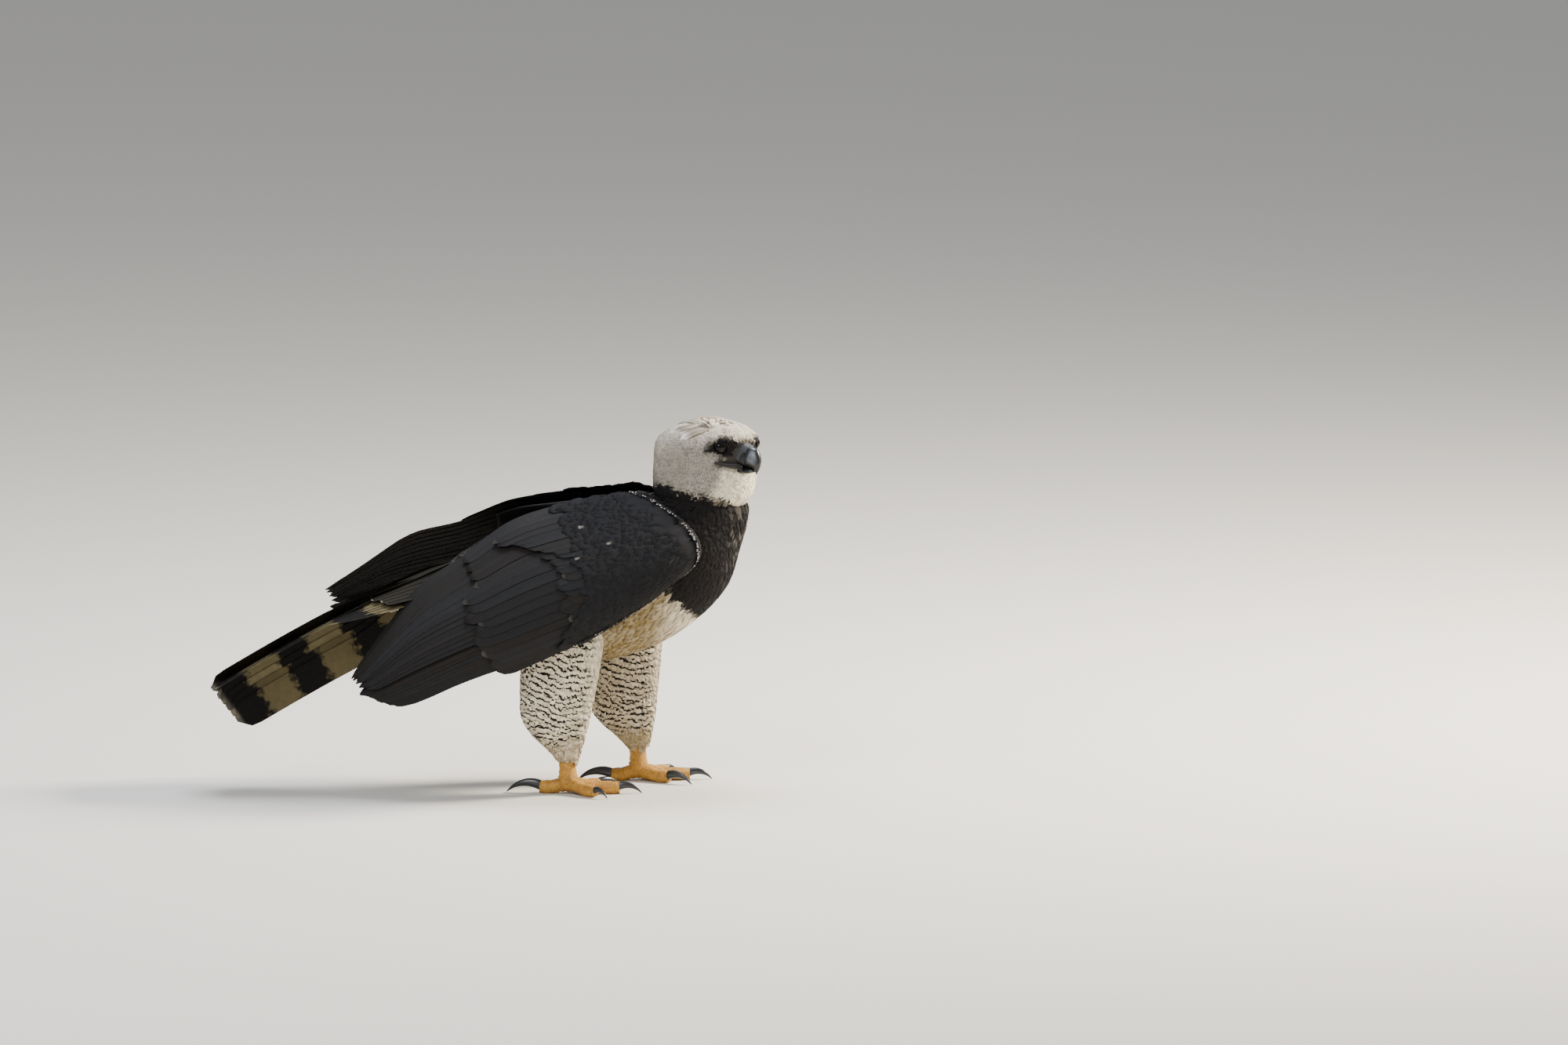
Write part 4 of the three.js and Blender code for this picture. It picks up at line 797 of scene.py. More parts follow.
# Before the eye and under it, feathers shrink towards the lids to a shortest length.
BY_EYE = {"forward": -6, "up": 14, "shortest": 3, "growth": 1.2, "least": 2}
BILL_ROOM = {"forward": 50, "right": 17, "low": -23, "high": 16}
MOUTH_ROOM = {"high": 3.6, "down": 0.5, "right": 8}
GREY_STREAKS = 0.35

rng = np.random.default_rng(12)
depth = -SKIN_DEPTH["head"]
t, angle = scattered(head, HEAD_ROWS["from"], HEAD_ROWS["to"], HEAD_ROWS["spacing"], rng, depth)
roots, normal = head(t, angle, depth), slopes(head, t, angle, depth)[2]
forward, right, up = in_head(roots)
eye_gap = np.sqrt((forward - EYE["forward"])**2 + (np.abs(right) - EYE["side"])**2 + (up - EYE["up"])**2)
bill = ((forward > BILL_ROOM["forward"]) & (np.abs(right) < BILL_ROOM["right"])
        & (up > BILL_ROOM["low"]) & (up < BILL_ROOM["high"]))
mouth_gap = np.abs(up - mouth_height(forward) + MOUTH_ROOM["down"])
mouth = (mouth_gap < MOUTH_ROOM["high"]) & (forward > MOUTH["back"]) & (np.abs(right) > MOUTH_ROOM["right"])
free = (eye_gap > EYE_CLEAR) & ~bill & ~mouth
t, angle, roots, normal = t[free], angle[free], roots[free], normal[free]
forward, right, up, eye_gap = forward[free], right[free], up[free], eye_gap[free]
behind = smooth_step(-(normal @ FACE_AHEAD), *NAPE["behind"])
fall = NAPE["fall"] + NAPE["more_fall"] * behind
lie = -FACE_AHEAD * (1 - NAPE["turn"] * behind)[:, None] - np.array((0, 0, 1)) * fall[:, None]
longer = np.maximum(smooth_step(-forward, *LONGER_BACK), smooth_step(-up, *LONGER_DOWN))
length = HEAD_ROWS["face"] + (HEAD_ROWS["hood"] - HEAD_ROWS["face"]) * longer
before_eye = (forward > EYE["forward"] + BY_EYE["forward"]) & (up < EYE["up"] + BY_EYE["up"])
short = np.maximum(BY_EYE["shortest"], (eye_gap - EYE_CLEAR) * BY_EYE["growth"] + BY_EYE["least"])
length = np.where(before_eye, np.minimum(length, short), length)
sizes = {"length": length, "half": HEAD_ROWS["half"] + length[:, None] * HEAD_ROWS["slimness"],
         "rise": (HEAD_ROWS["rise"] * np.minimum(1, length / HEAD_ROWS["full"]))[:, None]}
marks = marking(roots)
marks[:, 1] = np.maximum(marks[:, 1], GREY_STREAKS * marks[:, 0] * rng.uniform(0, 1, len(t)) ** 2)
head_feathers = coat("head_feathers", head, (t, angle), lie, sizes, rng, depth, marks, head_plumage,
                     unwrapped(0.52))
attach(head_feathers, "root")


# The crest: long blunt feathers rooted across the crown, relaxed, so that they lie back over the hood
# with their dark tips loose from the nape.

# The section of a long feather across its vane, with the raised shaft in the middle of the upper face.
FEATHER_RING = np.array([(-1, 0), (-0.55, 0.5), (-0.06, 0.55), (0, 1.5), (0.06, 0.55), (0.55, 0.5), (1, 0),
                         (0.5, -0.5), (0, -0.8), (-0.5, -0.5)])
CREST = {"count": 46, "spread": 2.3, "middle": math.pi - 0.35, "root": (0.8, 1.15), "length": (44, 70),
         "half": 7, "rise": 4.5, "under": -3.2, "thick": 0.45, "grey": 0.6, "dusk": (0.2, 0.6), "tip": 0.7,
         "lie": (0.6, 0.4), "shorter": 0.5, "wander": 0.1, "moved": 0.05, "rises": (0.4, 1),
         "halves": (0.8, 1.15), "ends": (0.4, 0.25), "tint": 0.3, "droop": 0.2, "stations": 12,
         "arch": (0.9, 1.5)}
BLADE_SWELL = 0.3
BLADE_BLUNT = 0.985


def blade_width(f, root, tip):
    """A blade's width along its length: it swells from the root as a quarter sine and closes in a
    rounded tip, the square root of 1 - u^2 over the last share of the length."""
    u = np.clip((f - (1 - tip)) / tip, 0, BLADE_BLUNT)
    swell = np.sin(np.minimum(f / BLADE_SWELL, 1) * np.pi / 2)
    return (root + (1 - root) * swell) * np.sqrt(1 - u * u)


def strips(count):
    """Long feathers side by side on a flat pattern: the corner of each one's strip and its size."""
    return np.stack((np.arange(count) / count, np.zeros(count)), -1), (0.96 / count, 0.98)


rng = np.random.default_rng(13)
count = CREST["count"]
steps = np.linspace(0, 1, CREST["stations"])
place_over = (np.arange(count) + 0.5) / count - 0.5
angle = CREST["middle"] + place_over * CREST["spread"] + rng.normal(0, CREST["moved"], count)
t = rng.uniform(*CREST["root"], count)
length = rng.uniform(*CREST["length"], count) * (1 - CREST["shorter"] * np.abs(place_over))
lie = np.broadcast_to(-FACE_AHEAD * CREST["lie"][0] - np.array((0, 0, CREST["lie"][1])), (count, 3))
turn = rng.normal(0, CREST["wander"], count)
line, normal = laid(head, t, angle, lie, length, steps, turn, CREST["under"])
arch = np.sin(steps * np.pi * CREST["arch"][0]) ** CREST["arch"][1]
rise = CREST["rise"] * rng.uniform(*CREST["rises"], count)[:, None] * arch
line = line + normal * rise[..., None]
half = CREST["half"] * rng.uniform(*CREST["halves"], count)[:, None] * blade_width(steps, *CREST["ends"])
thick = np.full(half.shape, CREST["thick"])
marks = np.column_stack((np.full(count, CREST["grey"]), rng.uniform(*CREST["dusk"], count), np.zeros(count),
                         np.full(count, CREST["tip"])))
values = {"marking": marks, "random": rng.uniform(0, CREST["tint"], count), "bar": np.zeros(half.shape)}
crest = blades("crest_feathers", line, normal, half, thick, FEATHER_RING, values, strips(count),
               body_plumage, droop=CREST["droop"])
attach(crest, "root")


# The eyes: wet dark brown globes with a bulging cornea, set under the brows and ringed by bare lids,
# each a soft roll of skin, thicker above, that rests on the globe.

# Shares of the globe's half width, but for the cornea's bulge in millimetres and its edge in radians.
IRIS = {"pupil": 0.42, "pupil_blur": 0.05, "edge": 0.78, "edge_blur": 0.06, "bulge": 0.9,
        "cornea": (0.25, 0.75)}
# The rays of an iris are about 0.1 mm wide and the lids' creases 0.5; both are drawn coarser, to show.
RAYS = {"size": 1.4286, "weight": 0.06}
GAZE = (0.55, 0.83)
LID = {"aperture": 10.4, "upper": 1.7, "lower": 1.2, "squash": 0.84, "off": 0.6}
LID_CREASES = {"size": 1.1111, "height": 0.4}
EYE_RINGS, EYE_SIDES, EYE_POLE = 40, 48, 0.02
LID_SIDES, LID_RING = 56, 12
# The eye's white, hidden under the lids, is drawn near black as painted shade.
EYE_COLOURS = {"pupil": "#030303", "iris": "#0d0906", "white": "#080707", "lid": "#0a0909"}

# A living eye under its film of tears: nearly black, with one small sharp glint and a faint brown ring.
eye_wet, shader = new_material("wet_eye", Roughness=0.08, **{"Specular IOR Level": 0.1, "Coat Weight": 0.16,
                                                           "Coat Roughness": 0.03})
tree = eye_wet.node_tree
across_eye = add_node(tree, "ShaderNodeAttribute", attribute_name="across_eye")
spot = add_node(tree, "ShaderNodeTexCoord")
rays = add_node(tree, "ShaderNodeTexNoise", values={"Scale": to_metre(RAYS["size"])},
                links={"Vector": spot.outputs["Object"]})
blur = add_node(tree, "ShaderNodeMath", operation="MULTIPLY_ADD", values={1: RAYS["weight"]},
                links={0: rays.outputs["Fac"], 2: across_eye.outputs["Fac"]})
rings = add_node(tree, "ShaderNodeValToRGB", links={"Fac": blur.outputs[0]})
ramp = rings.color_ramp
ramp.elements[0].position = IRIS["pupil"]
ramp.elements[0].color = linear(EYE_COLOURS["pupil"])
ramp.elements[1].position = IRIS["pupil"] + IRIS["pupil_blur"]
ramp.elements[1].color = linear(EYE_COLOURS["iris"])
for position, colour in ((IRIS["edge"] - IRIS["edge_blur"], "iris"), (IRIS["edge"], "white")):
    ramp.elements.new(position).color = linear(EYE_COLOURS[colour])
tree.links.new(rings.outputs["Color"], shader.inputs["Base Color"])

# Bare black skin, finely creased: a dull dark rim that sets the shining globe off from the feathers.
lid_skin, shader = new_material("bare_lid_skin", Roughness=0.6, **{"Specular IOR Level": 0.2})
shader.inputs["Base Color"].default_value = linear(EYE_COLOURS["lid"])
tree = lid_skin.node_tree
spot = add_node(tree, "ShaderNodeTexCoord")
creases = add_node(tree, "ShaderNodeTexVoronoi", values={"Scale": to_metre(LID_CREASES["size"])},
                   links={"Vector": spot.outputs["Object"]})
bump = add_node(tree, "ShaderNodeBump", values={"Strength": 0.4, "Distance": LID_CREASES["height"] / 1000},
                links={"Height": creases.outputs["Distance"]})
tree.links.new(bump.outputs[0], shader.inputs["Normal"])

for name, side in (("right", 1), ("left", -1)):
    centre = head_point(EYE["forward"], side * EYE["side"], EYE["up"])
    gaze = unit(head_point(EYE["forward"] + GAZE[0], side * (EYE["side"] + GAZE[1]), EYE["up"]) - centre)
    level = unit(np.cross((0, 0, 1), gaze))
    rise = np.cross(gaze, level)
    turns = np.arange(EYE_SIDES) / EYE_SIDES * 2 * np.pi
    polar = np.linspace(EYE_POLE, np.pi - EYE_POLE, EYE_RINGS)
    polar, turn = np.meshgrid(polar, turns, indexing="ij")
    radius = EYE["radius"] + IRIS["bulge"] * (1 - smooth_step(polar, *IRIS["cornea"]))
    spokes = level * np.cos(turn)[..., None] + rise * np.sin(turn)[..., None]
    globe = gaze * np.cos(polar)[..., None] + spokes * np.sin(polar)[..., None]
    points, faces = tube(centre + radius[..., None] * globe)
    eye = new_piece(f"eyeball_{name}", place(points), faces, eye_wet)
    set_attribute(eye.data, "across_eye", "FLOAT", np.sin(np.minimum(polar, np.pi / 2)))
    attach(eye, "root")
    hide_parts(f"eye_{name}")

    k, i = np.meshgrid(np.arange(LID_SIDES), np.arange(LID_RING), indexing="ij")
    turn, ring = k / LID_SIDES * 2 * np.pi, i / LID_RING * 2 * np.pi
    thick = LID["lower"] + (LID["upper"] - LID["lower"]) * (0.5 + 0.5 * np.sin(turn))
    spokes = level * np.cos(turn)[..., None] + rise * (np.sin(turn) * LID["squash"])[..., None]
    out = np.sqrt(EYE["radius"] ** 2 - LID["aperture"] ** 2) + LID["off"] + np.sin(ring) * thick
    rim = centre + spokes * (LID["aperture"] + np.cos(ring) * thick)[..., None] + gaze * out[..., None]
    following, beside = (k + 1) % LID_SIDES, (i + 1) % LID_RING
    a, b = k * LID_RING + i, k * LID_RING + beside
    c, d = following * LID_RING + beside, following * LID_RING + i
    quads = np.stack((a, b, c, d), -1).reshape(-1, 4)
    lid = new_piece(f"eyelid_{name}", place(rim.reshape(-1, 3)), [quads], lid_skin)
    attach(lid, "root")


# The bill: hooked horn, deep and narrow, over a shorter lower half, with a dull bare cere behind it
# that holds the nostrils. Each is one shell over the bone, the cere grown over the root of the horn.

# Each station is a ridge and an edge, forward and up, and a half width.
BILL_UPPER = np.array([
    (66, 13, 64, -20.5, 13.5), (73, 12.4, 69.6, -20.3, 12.6), (80, 9.8, 75, -19.8, 11),
    (85.6, 3, 79, -20, 8.8), (89.2, -6.5, 82, -22, 6.4), (89.6, -15.5, 82, -24.4, 4.2),
    (87.6, -22.5, 81.8, -26.4, 2.2), (83.4, -29.2, 81.8, -29.4, 0.7),
])
BILL_LOWER = np.array([
    (43, -23, 43, -35, 14.5), (54, -22.4, 54, -34.4, 12.8), (65, -21.6, 65, -32.6, 10.8),
    (73.5, -21.4, 73.5, -29.6, 8.2), (78.5, -23.6, 78.5, -27.2, 4.6),
])
CERE = np.array([
    (45, 17, 43, -21.2, 19), (53, 16.6, 52, -21.2, 16.6), (61, 15, 59.4, -21.1, 14.8),
    (65.7, 13.8, 63.7, -20.9, 14),
])
BILL_EGG = 0.18
BILL_SIDES = 56
NOSTRIL = {"forward": 59, "up": -3.5, "length": 7.5, "width": 2.8, "slope": math.radians(42), "depth": 4,
           "rim": 0.7, "rim_at": 1.8}
# Where a painted highlight makes the horn paler: from and to along the bill, and from and to up its side.
LIT_HORN = {"from": (0.1, 0.22), "to": (0.35, 0.6), "low": (-0.8, -0.1), "high": (0.6, 0.95)}
# Millimetres across a cloud of the horn and between growth lines, real ones of about 0.5 drawn coarser.
HORN_GRAIN = {"cloud": 6.25, "lines": 3.8462, "height": 0.3}
HORN_COLOURS = {"dark": "#0f1012", "lit": "#646b72", "cere": "#2a2a2b", "cere_dark_and_nostril_shade": "#080808",
                "gape": "#090808"}


def bill_rings(rows, rings, sides):
    """Sections of a bill piece from its ridge to its edge: an egg, broader below, pinched to a keel."""
    t, turn = np.meshgrid(np.linspace(0, 1, rings), np.arange(sides) / sides * 2 * np.pi, indexing="ij")
    ridge_x, ridge_z, edge_x, edge_z, half = np.moveaxis(between(rows, t), -1, 0)
    rise = np.cos(turn)
    out = np.sin(turn) * half * (1 - BILL_EGG * rise)
    forward = (ridge_x + edge_x) / 2 + (ridge_x - edge_x) / 2 * rise
    up = (ridge_z + edge_z) / 2 + (ridge_z - edge_z) / 2 * rise
    return forward, out, up, t, rise


def horn(name, dark, lit, roughness):
    """Horn or hard skin: dark, cloudy at a few millimetres, mixed towards the lit colour by the piece's lit
    attribute, which paints a highlight on the bill and claws and shade in the nostrils; fine growth lines
    are a bump.
    """
    material, shader = new_material(name, Roughness=roughness,
                                    **{"Coat Weight": 0.15, "Coat Roughness": 0.3})
    tree = material.node_tree
    spot = add_node(tree, "ShaderNodeTexCoord")
    cloud = add_node(tree, "ShaderNodeTexNoise", links={"Vector": spot.outputs["Object"]},
                     values={"Scale": to_metre(HORN_GRAIN["cloud"]), "Detail": 4.0})
    share = add_node(tree, "ShaderNodeAttribute", attribute_name="lit")
    clouded = add_node(tree, "ShaderNodeMapRange", values={"From Min": 0.3, "From Max": 0.7, "To Min": 0.5},
                       links={"Value": cloud.outputs["Fac"]})
    spread = add_node(tree, "ShaderNodeMath", operation="MULTIPLY",
                      links={0: clouded.outputs[0], 1: share.outputs["Fac"]})
    tint = add_node(tree, "ShaderNodeMix", data_type="RGBA", values={"A": linear(dark), "B": linear(lit)},
                    links={"Factor": spread.outputs[0]})
    tree.links.new(tint.outputs["Result"], shader.inputs["Base Color"])
    lines = add_node(tree, "ShaderNodeTexWave", bands_direction="Z",
                     values={"Scale": to_metre(HORN_GRAIN["lines"]), "Distortion": 6.0},
                     links={"Vector": spot.outputs["Object"]})
    bump = add_node(tree, "ShaderNodeBump", links={"Height": lines.outputs["Fac"]},
                    values={"Strength": 0.15, "Distance": HORN_GRAIN["height"] / 1000})
    tree.links.new(bump.outputs[0], shader.inputs["Normal"])
    return material


# Keratin, grown in layers and worn smooth: dark slate with a soft shine, and a painted highlight that makes
# each flank paler.
bill_horn = horn("dark_slate_horn", HORN_COLOURS["dark"], HORN_COLOURS["lit"], 0.32)
# Waxy bare skin over bone: the same dark grey, but dull, so that the horn shines beside it.
cere_skin = horn("dull_cere_skin", HORN_COLOURS["cere_dark_and_nostril_shade"], HORN_COLOURS["cere"], 0.6)
# Soft bare skin at the corner of the mouth: almost black and without a shine, it reads as a line.
lip_skin = horn("dark_lip_skin", HORN_COLOURS["gape"], HORN_COLOURS["cere_dark_and_nostril_shade"], 0.7)
for name, rows, rings, material, slot in (
        ("upper", BILL_UPPER, 48, bill_horn, "horn"), ("lower", BILL_LOWER, 30, bill_horn, "horn"),
        ("cere", CERE, 60, cere_skin, "cere_skin")):
    forward, out, up, t, rise = bill_rings(rows, rings, BILL_SIDES)
    # Painted highlight: the upper half's flanks are drawn paler in a band along the bill.
    lit = smooth_step(t, *LIT_HORN["from"]) * (1 - smooth_step(t, *LIT_HORN["to"]))
    lit = lit * smooth_step(rise, *LIT_HORN["low"]) * (1 - smooth_step(rise, *LIT_HORN["high"]))
    lit = lit * (name == "upper")
    if name == "cere":
        along = (forward - NOSTRIL["forward"]) * math.cos(NOSTRIL["slope"])
        along = along + (up - NOSTRIL["up"]) * math.sin(NOSTRIL["slope"])
        aside = (up - NOSTRIL["up"]) * math.cos(NOSTRIL["slope"])
        aside = aside - (forward - NOSTRIL["forward"]) * math.sin(NOSTRIL["slope"])
        far = (along / NOSTRIL["length"]) ** 2 + (aside / NOSTRIL["width"]) ** 2
        rim = NOSTRIL["rim"] * np.exp(-(far - NOSTRIL["rim_at"]) ** 2)
        out = out - np.sign(out) * NOSTRIL["depth"] * np.exp(-far**2) + np.sign(out) * rim
        # Painted shade: the nostril's pit is drawn near black; the rest of the cere keeps its own clouded
        # dull grey.
        lit = 1 - np.exp(-far**2)
    points, faces = tube(head_point(forward, out, up))
    node = "cere" if name == "cere" else f"bill_{name}"
    piece = new_piece(f"{node}_shell", place(points), faces, material)
    set_attribute(piece.data, "lit", "FLOAT", lit)
    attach(piece, "root")
    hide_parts(node)


# The line of the mouth: two bare dark lips on the cheek, from the bill back to under the eye. The
# lower one is broad at the bill, where it covers the base of the lower half.

LIPS = {
    "upper": {"front": 1.8, "back": 1.7, "drop": -1.4},
    "lower": {"front": 4.4, "back": 1.7, "drop": 1.4},
}
LIP_SUNK = 0.6
LIP_THICK = 1.5
LIP_STATIONS, LIP_RING = 36, 12
LIP_TAPER = {"from": 0.04, "over": 0.86, "round": 0.3}
# The part of the head's surface that holds the cheeks, and how finely it is searched.
CHEEKS = {"levels": (0.2, 0.8), "rings": 160, "sides": 480, "bends": 4}

f, ring = np.meshgrid(np.linspace(0, 1, LIP_STATIONS), np.arange(LIP_RING) / LIP_RING * 2 * np.pi,
                      indexing="ij")
forward = MOUTH["back"] + (MOUTH["front"] - MOUTH["back"]) * f
line_up = mouth_height(forward)
t, angle = np.meshgrid(np.linspace(*CHEEKS["levels"], CHEEKS["rings"]),
                       np.linspace(0, 2 * np.pi, CHEEKS["sides"]), indexing="ij")
near_forward, near_right, near_up = in_head(head(t, angle))
beside_bill = np.interp(forward, CERE[:, 2], CERE[:, 4]) - LIP_THICK
for side_name, side in (("right", 1), ("left", -1)):
    # The cheek's width at each station of the line is that of the surface's nearest point, smoothed by a
    # polynomial; points of the other cheek are counted as 100 mm off.
    other_cheek = 100 ** 2 * (near_right * side < 0)
    nearest = [np.argmin((near_forward - ahead) ** 2 + (near_up - height) ** 2 + other_cheek)
               for ahead, height in zip(forward[:, 0], line_up[:, 0])]
    cheek = side * near_right.ravel()[nearest]
    cheek = np.polyval(np.polyfit(f[:, 0], cheek, CHEEKS["bends"]), f)
    for lip_name, lip in LIPS.items():
        half = lip["back"] + (lip["front"] - lip["back"]) * f**1.5
        half = half * np.sin(np.pi * (LIP_TAPER["from"] + LIP_TAPER["over"] * f)) ** LIP_TAPER["round"]
        out = np.maximum(cheek - LIP_SUNK, beside_bill) + np.cos(ring) * np.minimum(half, LIP_THICK)
        up = line_up - lip["drop"] - (half - lip["back"]) * np.sign(lip["drop"]) + np.sin(ring) * half
        points, faces = tube(head_point(forward, side * out, up))
        fold = new_piece(f"{lip_name}_lip_{side_name}", place(points), faces, lip_skin)
        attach(fold, "root")


# The wings, loosely folded. A fleshy arm lies along the body; over it the flight feathers and their
# coverts lie in tiers, each tier over the roots of the next, and small velvety coverts hide the arm.

# Seven stations from the bend to the tip: a point on the lower edge, the middle and the upper edge.
WING_LOWER = [(159, 104, 362), (88, 130, 310), (-6, 147, 257), (-107, 151, 212), (-193, 146, 183),
              (-271, 134, 152), (-322, 122, 143)]
WING_MIDDLE = [(185, 112, 420), (113, 138, 397), (13, 153, 364), (-92, 156, 326), (-189, 148, 283),
               (-284, 132, 230), (-357, 118, 174)]
WING_UPPER = [(92, 52, 488), (19, 32, 483), (-57, 20, 469), (-126, 16, 446), (-195, 28, 393),
              (-271, 56, 334), (-366, 98, 212)]
SHOULDER = (100, 440)
LEFT_LIFT = (math.radians(2), math.radians(13))
ARM = {"end": 0.56, "half": 0.47, "edge": 0.1, "fall": 36, "fall_from": 0.06, "under": 3, "reach": 46,
       "reach_end": 24, "flat": 0.7, "span": 260, "bend_half": (0.9, 0.1), "bend_middle": (0.45, 0.55),
       "rings": 40, "sides": 48}
# Each tier: how many feathers, where the first and the last are rooted, end, start and aim, their
# half width and their height in the stack.
WING_TIERS = {
    "primaries": {"count": 10, "root": (0.4, 0.4), "tip": (0.94, 1.03), "at": (0.1, 0.42),
                  "aim": (0.035, 0.46), "half": 17, "height": -13.8, "round": 0.1, "ragged": 0.006},
    "secondaries": {"count": 14, "root": (0.36, 0.4), "tip": (0.98, 1.02), "at": (0.38, 0.93),
                    "aim": (0.44, 0.95), "half": 18, "height": -9.2, "round": 0.1, "ragged": 0.01},
    "greater_coverts": {"count": 15, "root": (0.22, 0.26), "tip": (0.58, 0.68), "at": (0.06, 0.94),
                        "aim": (0.04, 0.93), "half": 17, "height": -4.6, "round": 0.13, "ragged": 0.02},
    "median_coverts": {"count": 18, "root": (0.12, 0.15), "tip": (0.37, 0.45), "at": (0.05, 0.94),
                       "aim": (0.04, 0.93), "half": 15, "height": -0.6, "round": 0.16, "ragged": 0.02},
    "scapulars": {"count": 8, "root": (0.03, 0.08), "tip": (0.36, 0.56), "at": (0.68, 0.9),
                  "aim": (0.7, 0.9), "half": 15, "height": 1.0, "round": 0.12, "ragged": 0.02},
}
TIER_STEPS = 22
TIER_STACK = 0.9
TIER_ROOT_SUNK = 4
TIER_TIP_CURVE = 0.7
TIER_ROOT_WIDTH = 0.6
# A vane is as wide as its share of the spacing and a few millimetres more, up to the tier's half width.
TIER_OVERLAP = (1.15, 3)
TIER_VARIES = {"half": 0.012, "height": 0.15}
VANE_THICKNESS = 0.3
COVERT_ROWS = {"spacing": 6.5, "length": 30, "half": 9.0, "rise": 1.6, "hang": 0.1}
COVERT_FIELD = {"to": 0.36, "low": 0.02, "high": 0.95, "above": 0.15, "ragged": 0.45}
COVERT_RISE = (1.3, 2.4)
COVERT_LIFT = {"height": 1.8, "s": (0.02, 0.12)}
MARGIN = {"from": 0.004, "to": 0.2, "hang": 0.12, "bend": (0.0, 0.03), "low": (0.75, 0.98)}
EDGE_ROW = {"count": 260, "length": 7, "half": 1.5, "rise": 3.6, "way": (0, 0.12, 0.5, 0.6, 1),
            "s": (0.05, 0.0, 0.0, 0.02, 0.33), "t": (0.985, 0.9, 0.12, 0.03, 0.015), "moved": 0.006,
            "clumps": (110, 47), "loose": 0.9, "least": 0.9}
# The most black and the most brown that a feather takes; most take little brown.
TINTS = {"vane": (0.35, 0.5), "covert": (0.25, 0.5), "margin": (0.3, 0.45)}
FLECKS = {"share": 0.002, "weight": 0.45, "edge_share": 0.25, "edge_weight": 0.5, "tip_share": 0.3,
          "tip_weight": 0.08}
SLATE = {
    "cream": "#1b1c1f", "buff": "#191613", "white": "#b5b0a6", "grey": "#241e19", "black": "#08080a",
    "bar": "#262422",
}


def wing(side):
    """The outer face of a wing at s from bend to tip and t from the lower edge to the upper one: a
    parabola through its three edges. The left wing, side 1, is lifted by a turn about the shoulder."""
    def surface(s, t, extra=0.0):
        """low (1-t)(1-2t) + middle 4t(1-t) + high t(2t-1), then turned about the shoulder by the lift."""
        low, middle, high = (between(rows, s) for rows in (WING_LOWER, WING_MIDDLE, WING_UPPER))
        t = np.asarray(t)[..., None]
        point = low * (1 - t) * (1 - 2 * t) + middle * 4 * t * (1 - t) + high * t * (2 * t - 1)
        x, y, z = np.moveaxis(point, -1, 0)
        lift = (LEFT_LIFT[0] + (LEFT_LIFT[1] - LEFT_LIFT[0]) * s) * (side > 0)
        x, z = x - SHOULDER[0], z - SHOULDER[1]
        turned = SHOULDER[0] + x * np.cos(lift) + z * np.sin(lift)
        return np.stack((turned, y * side, SHOULDER[1] + z * np.cos(lift) - x * np.sin(lift)), -1)
    return surface


def arm(side):
    """The fleshy arm round the wing's root: at s, a flat loop that runs out under the wing's face at
    half a turn and back beside the body; it closes in a round edge at the bend."""
    face = wing(side)

    def surface(s, turn, extra=0.0):
        """The face's point at cos(turn) across, moved inwards by the loop's middle less its half depth
        times sin(turn) to a power under one, which flattens both sides."""
        s = np.asarray(s)
        edge = np.clip(s / ARM["edge"], 0, 1)
        swell = np.sqrt(1 - (1 - edge) ** 2 + 1e-4)
        sink = np.maximum(0, s - ARM["fall_from"]) * ARM["fall"] + ARM["under"]
        full = ARM["reach"] + (ARM["reach_end"] - ARM["reach"]) * s / ARM["end"]
        wide = ARM["half"] * (ARM["bend_half"][0] + ARM["bend_half"][1] * swell)
        t = 0.5 + (wide + extra / ARM["span"]) * np.cos(turn)
        middle = (sink + full) / 2 * (ARM["bend_middle"][0] + ARM["bend_middle"][1] * swell)
        half = (full - sink) / 2 * swell + extra
        inward = middle - half * np.sign(np.sin(turn)) * np.abs(np.sin(turn)) ** ARM["flat"]
        return face(s, t) + slopes(face, s, t)[2] * side * inward[..., None]
    return surface


def tier(surface, side, sizes, rng):
    """One tier: feather i runs straight in (s, t) from its root to its tip. Each lies under its upper
    neighbour, so its lower edge is tilted out by the stack's height over its spacing."""
    count, steps = sizes["count"], np.linspace(0, 1, TIER_STEPS)
    place_over = (np.arange(count) / (count - 1))[:, None]
    shares = {"root": place_over, "tip": place_over**TIER_TIP_CURVE, "at": place_over, "aim": place_over}
    root, tip, at, aim = (sizes[key][0] + (sizes[key][1] - sizes[key][0]) * p for key, p in shares.items())
    tip = tip + rng.normal(0, sizes["ragged"], (count, 1))
    s, t = root + (tip - root) * steps, at + (aim - at) * steps
    line = surface(s, t)
    across, normal = slopes(surface, s, t)[1:]
    normal = -normal * side
    span = np.linalg.norm(across, axis=-1)
    gap = np.abs((at[-1] - at[0]) * (1 - steps) + (aim[-1] - aim[0]) * steps)
    spacing = gap / (count - 1) * span
    tilt = TIER_STACK / spacing
    half = np.minimum(sizes["half"], spacing * TIER_OVERLAP[0] + TIER_OVERLAP[1])
    half = half * blade_width(steps, TIER_ROOT_WIDTH, sizes["round"])
    half = half * (1 + rng.normal(0, TIER_VARIES["half"], half.shape))
    sunk = TIER_ROOT_SUNK * np.clip(1 - steps * 4, 0, 1)
    line = line + normal * (sizes["height"] - sunk)[..., None]
    line = line + normal * rng.normal(0, TIER_VARIES["height"], (count, 1, 1))
    return line, unit(normal + unit(across) * tilt[..., None]), half


def wing_face(side):
    """The outer face as the small coverts find it: t is a share of a turn, and the surface is lifted a
    little off the vanes, growing from the bend."""
    face = wing(side)

    def surface(s, turn, extra=0.0):
        """The wing's face at a share of a turn, plus its outward normal times the lift."""
        t = np.asarray(turn) / (2 * np.pi)
        lift = COVERT_LIFT["height"] * smooth_step(np.asarray(s), *COVERT_LIFT["s"])
        return face(s, t) - slopes(face, s, t)[2] * side * lift[..., None]
    return surface


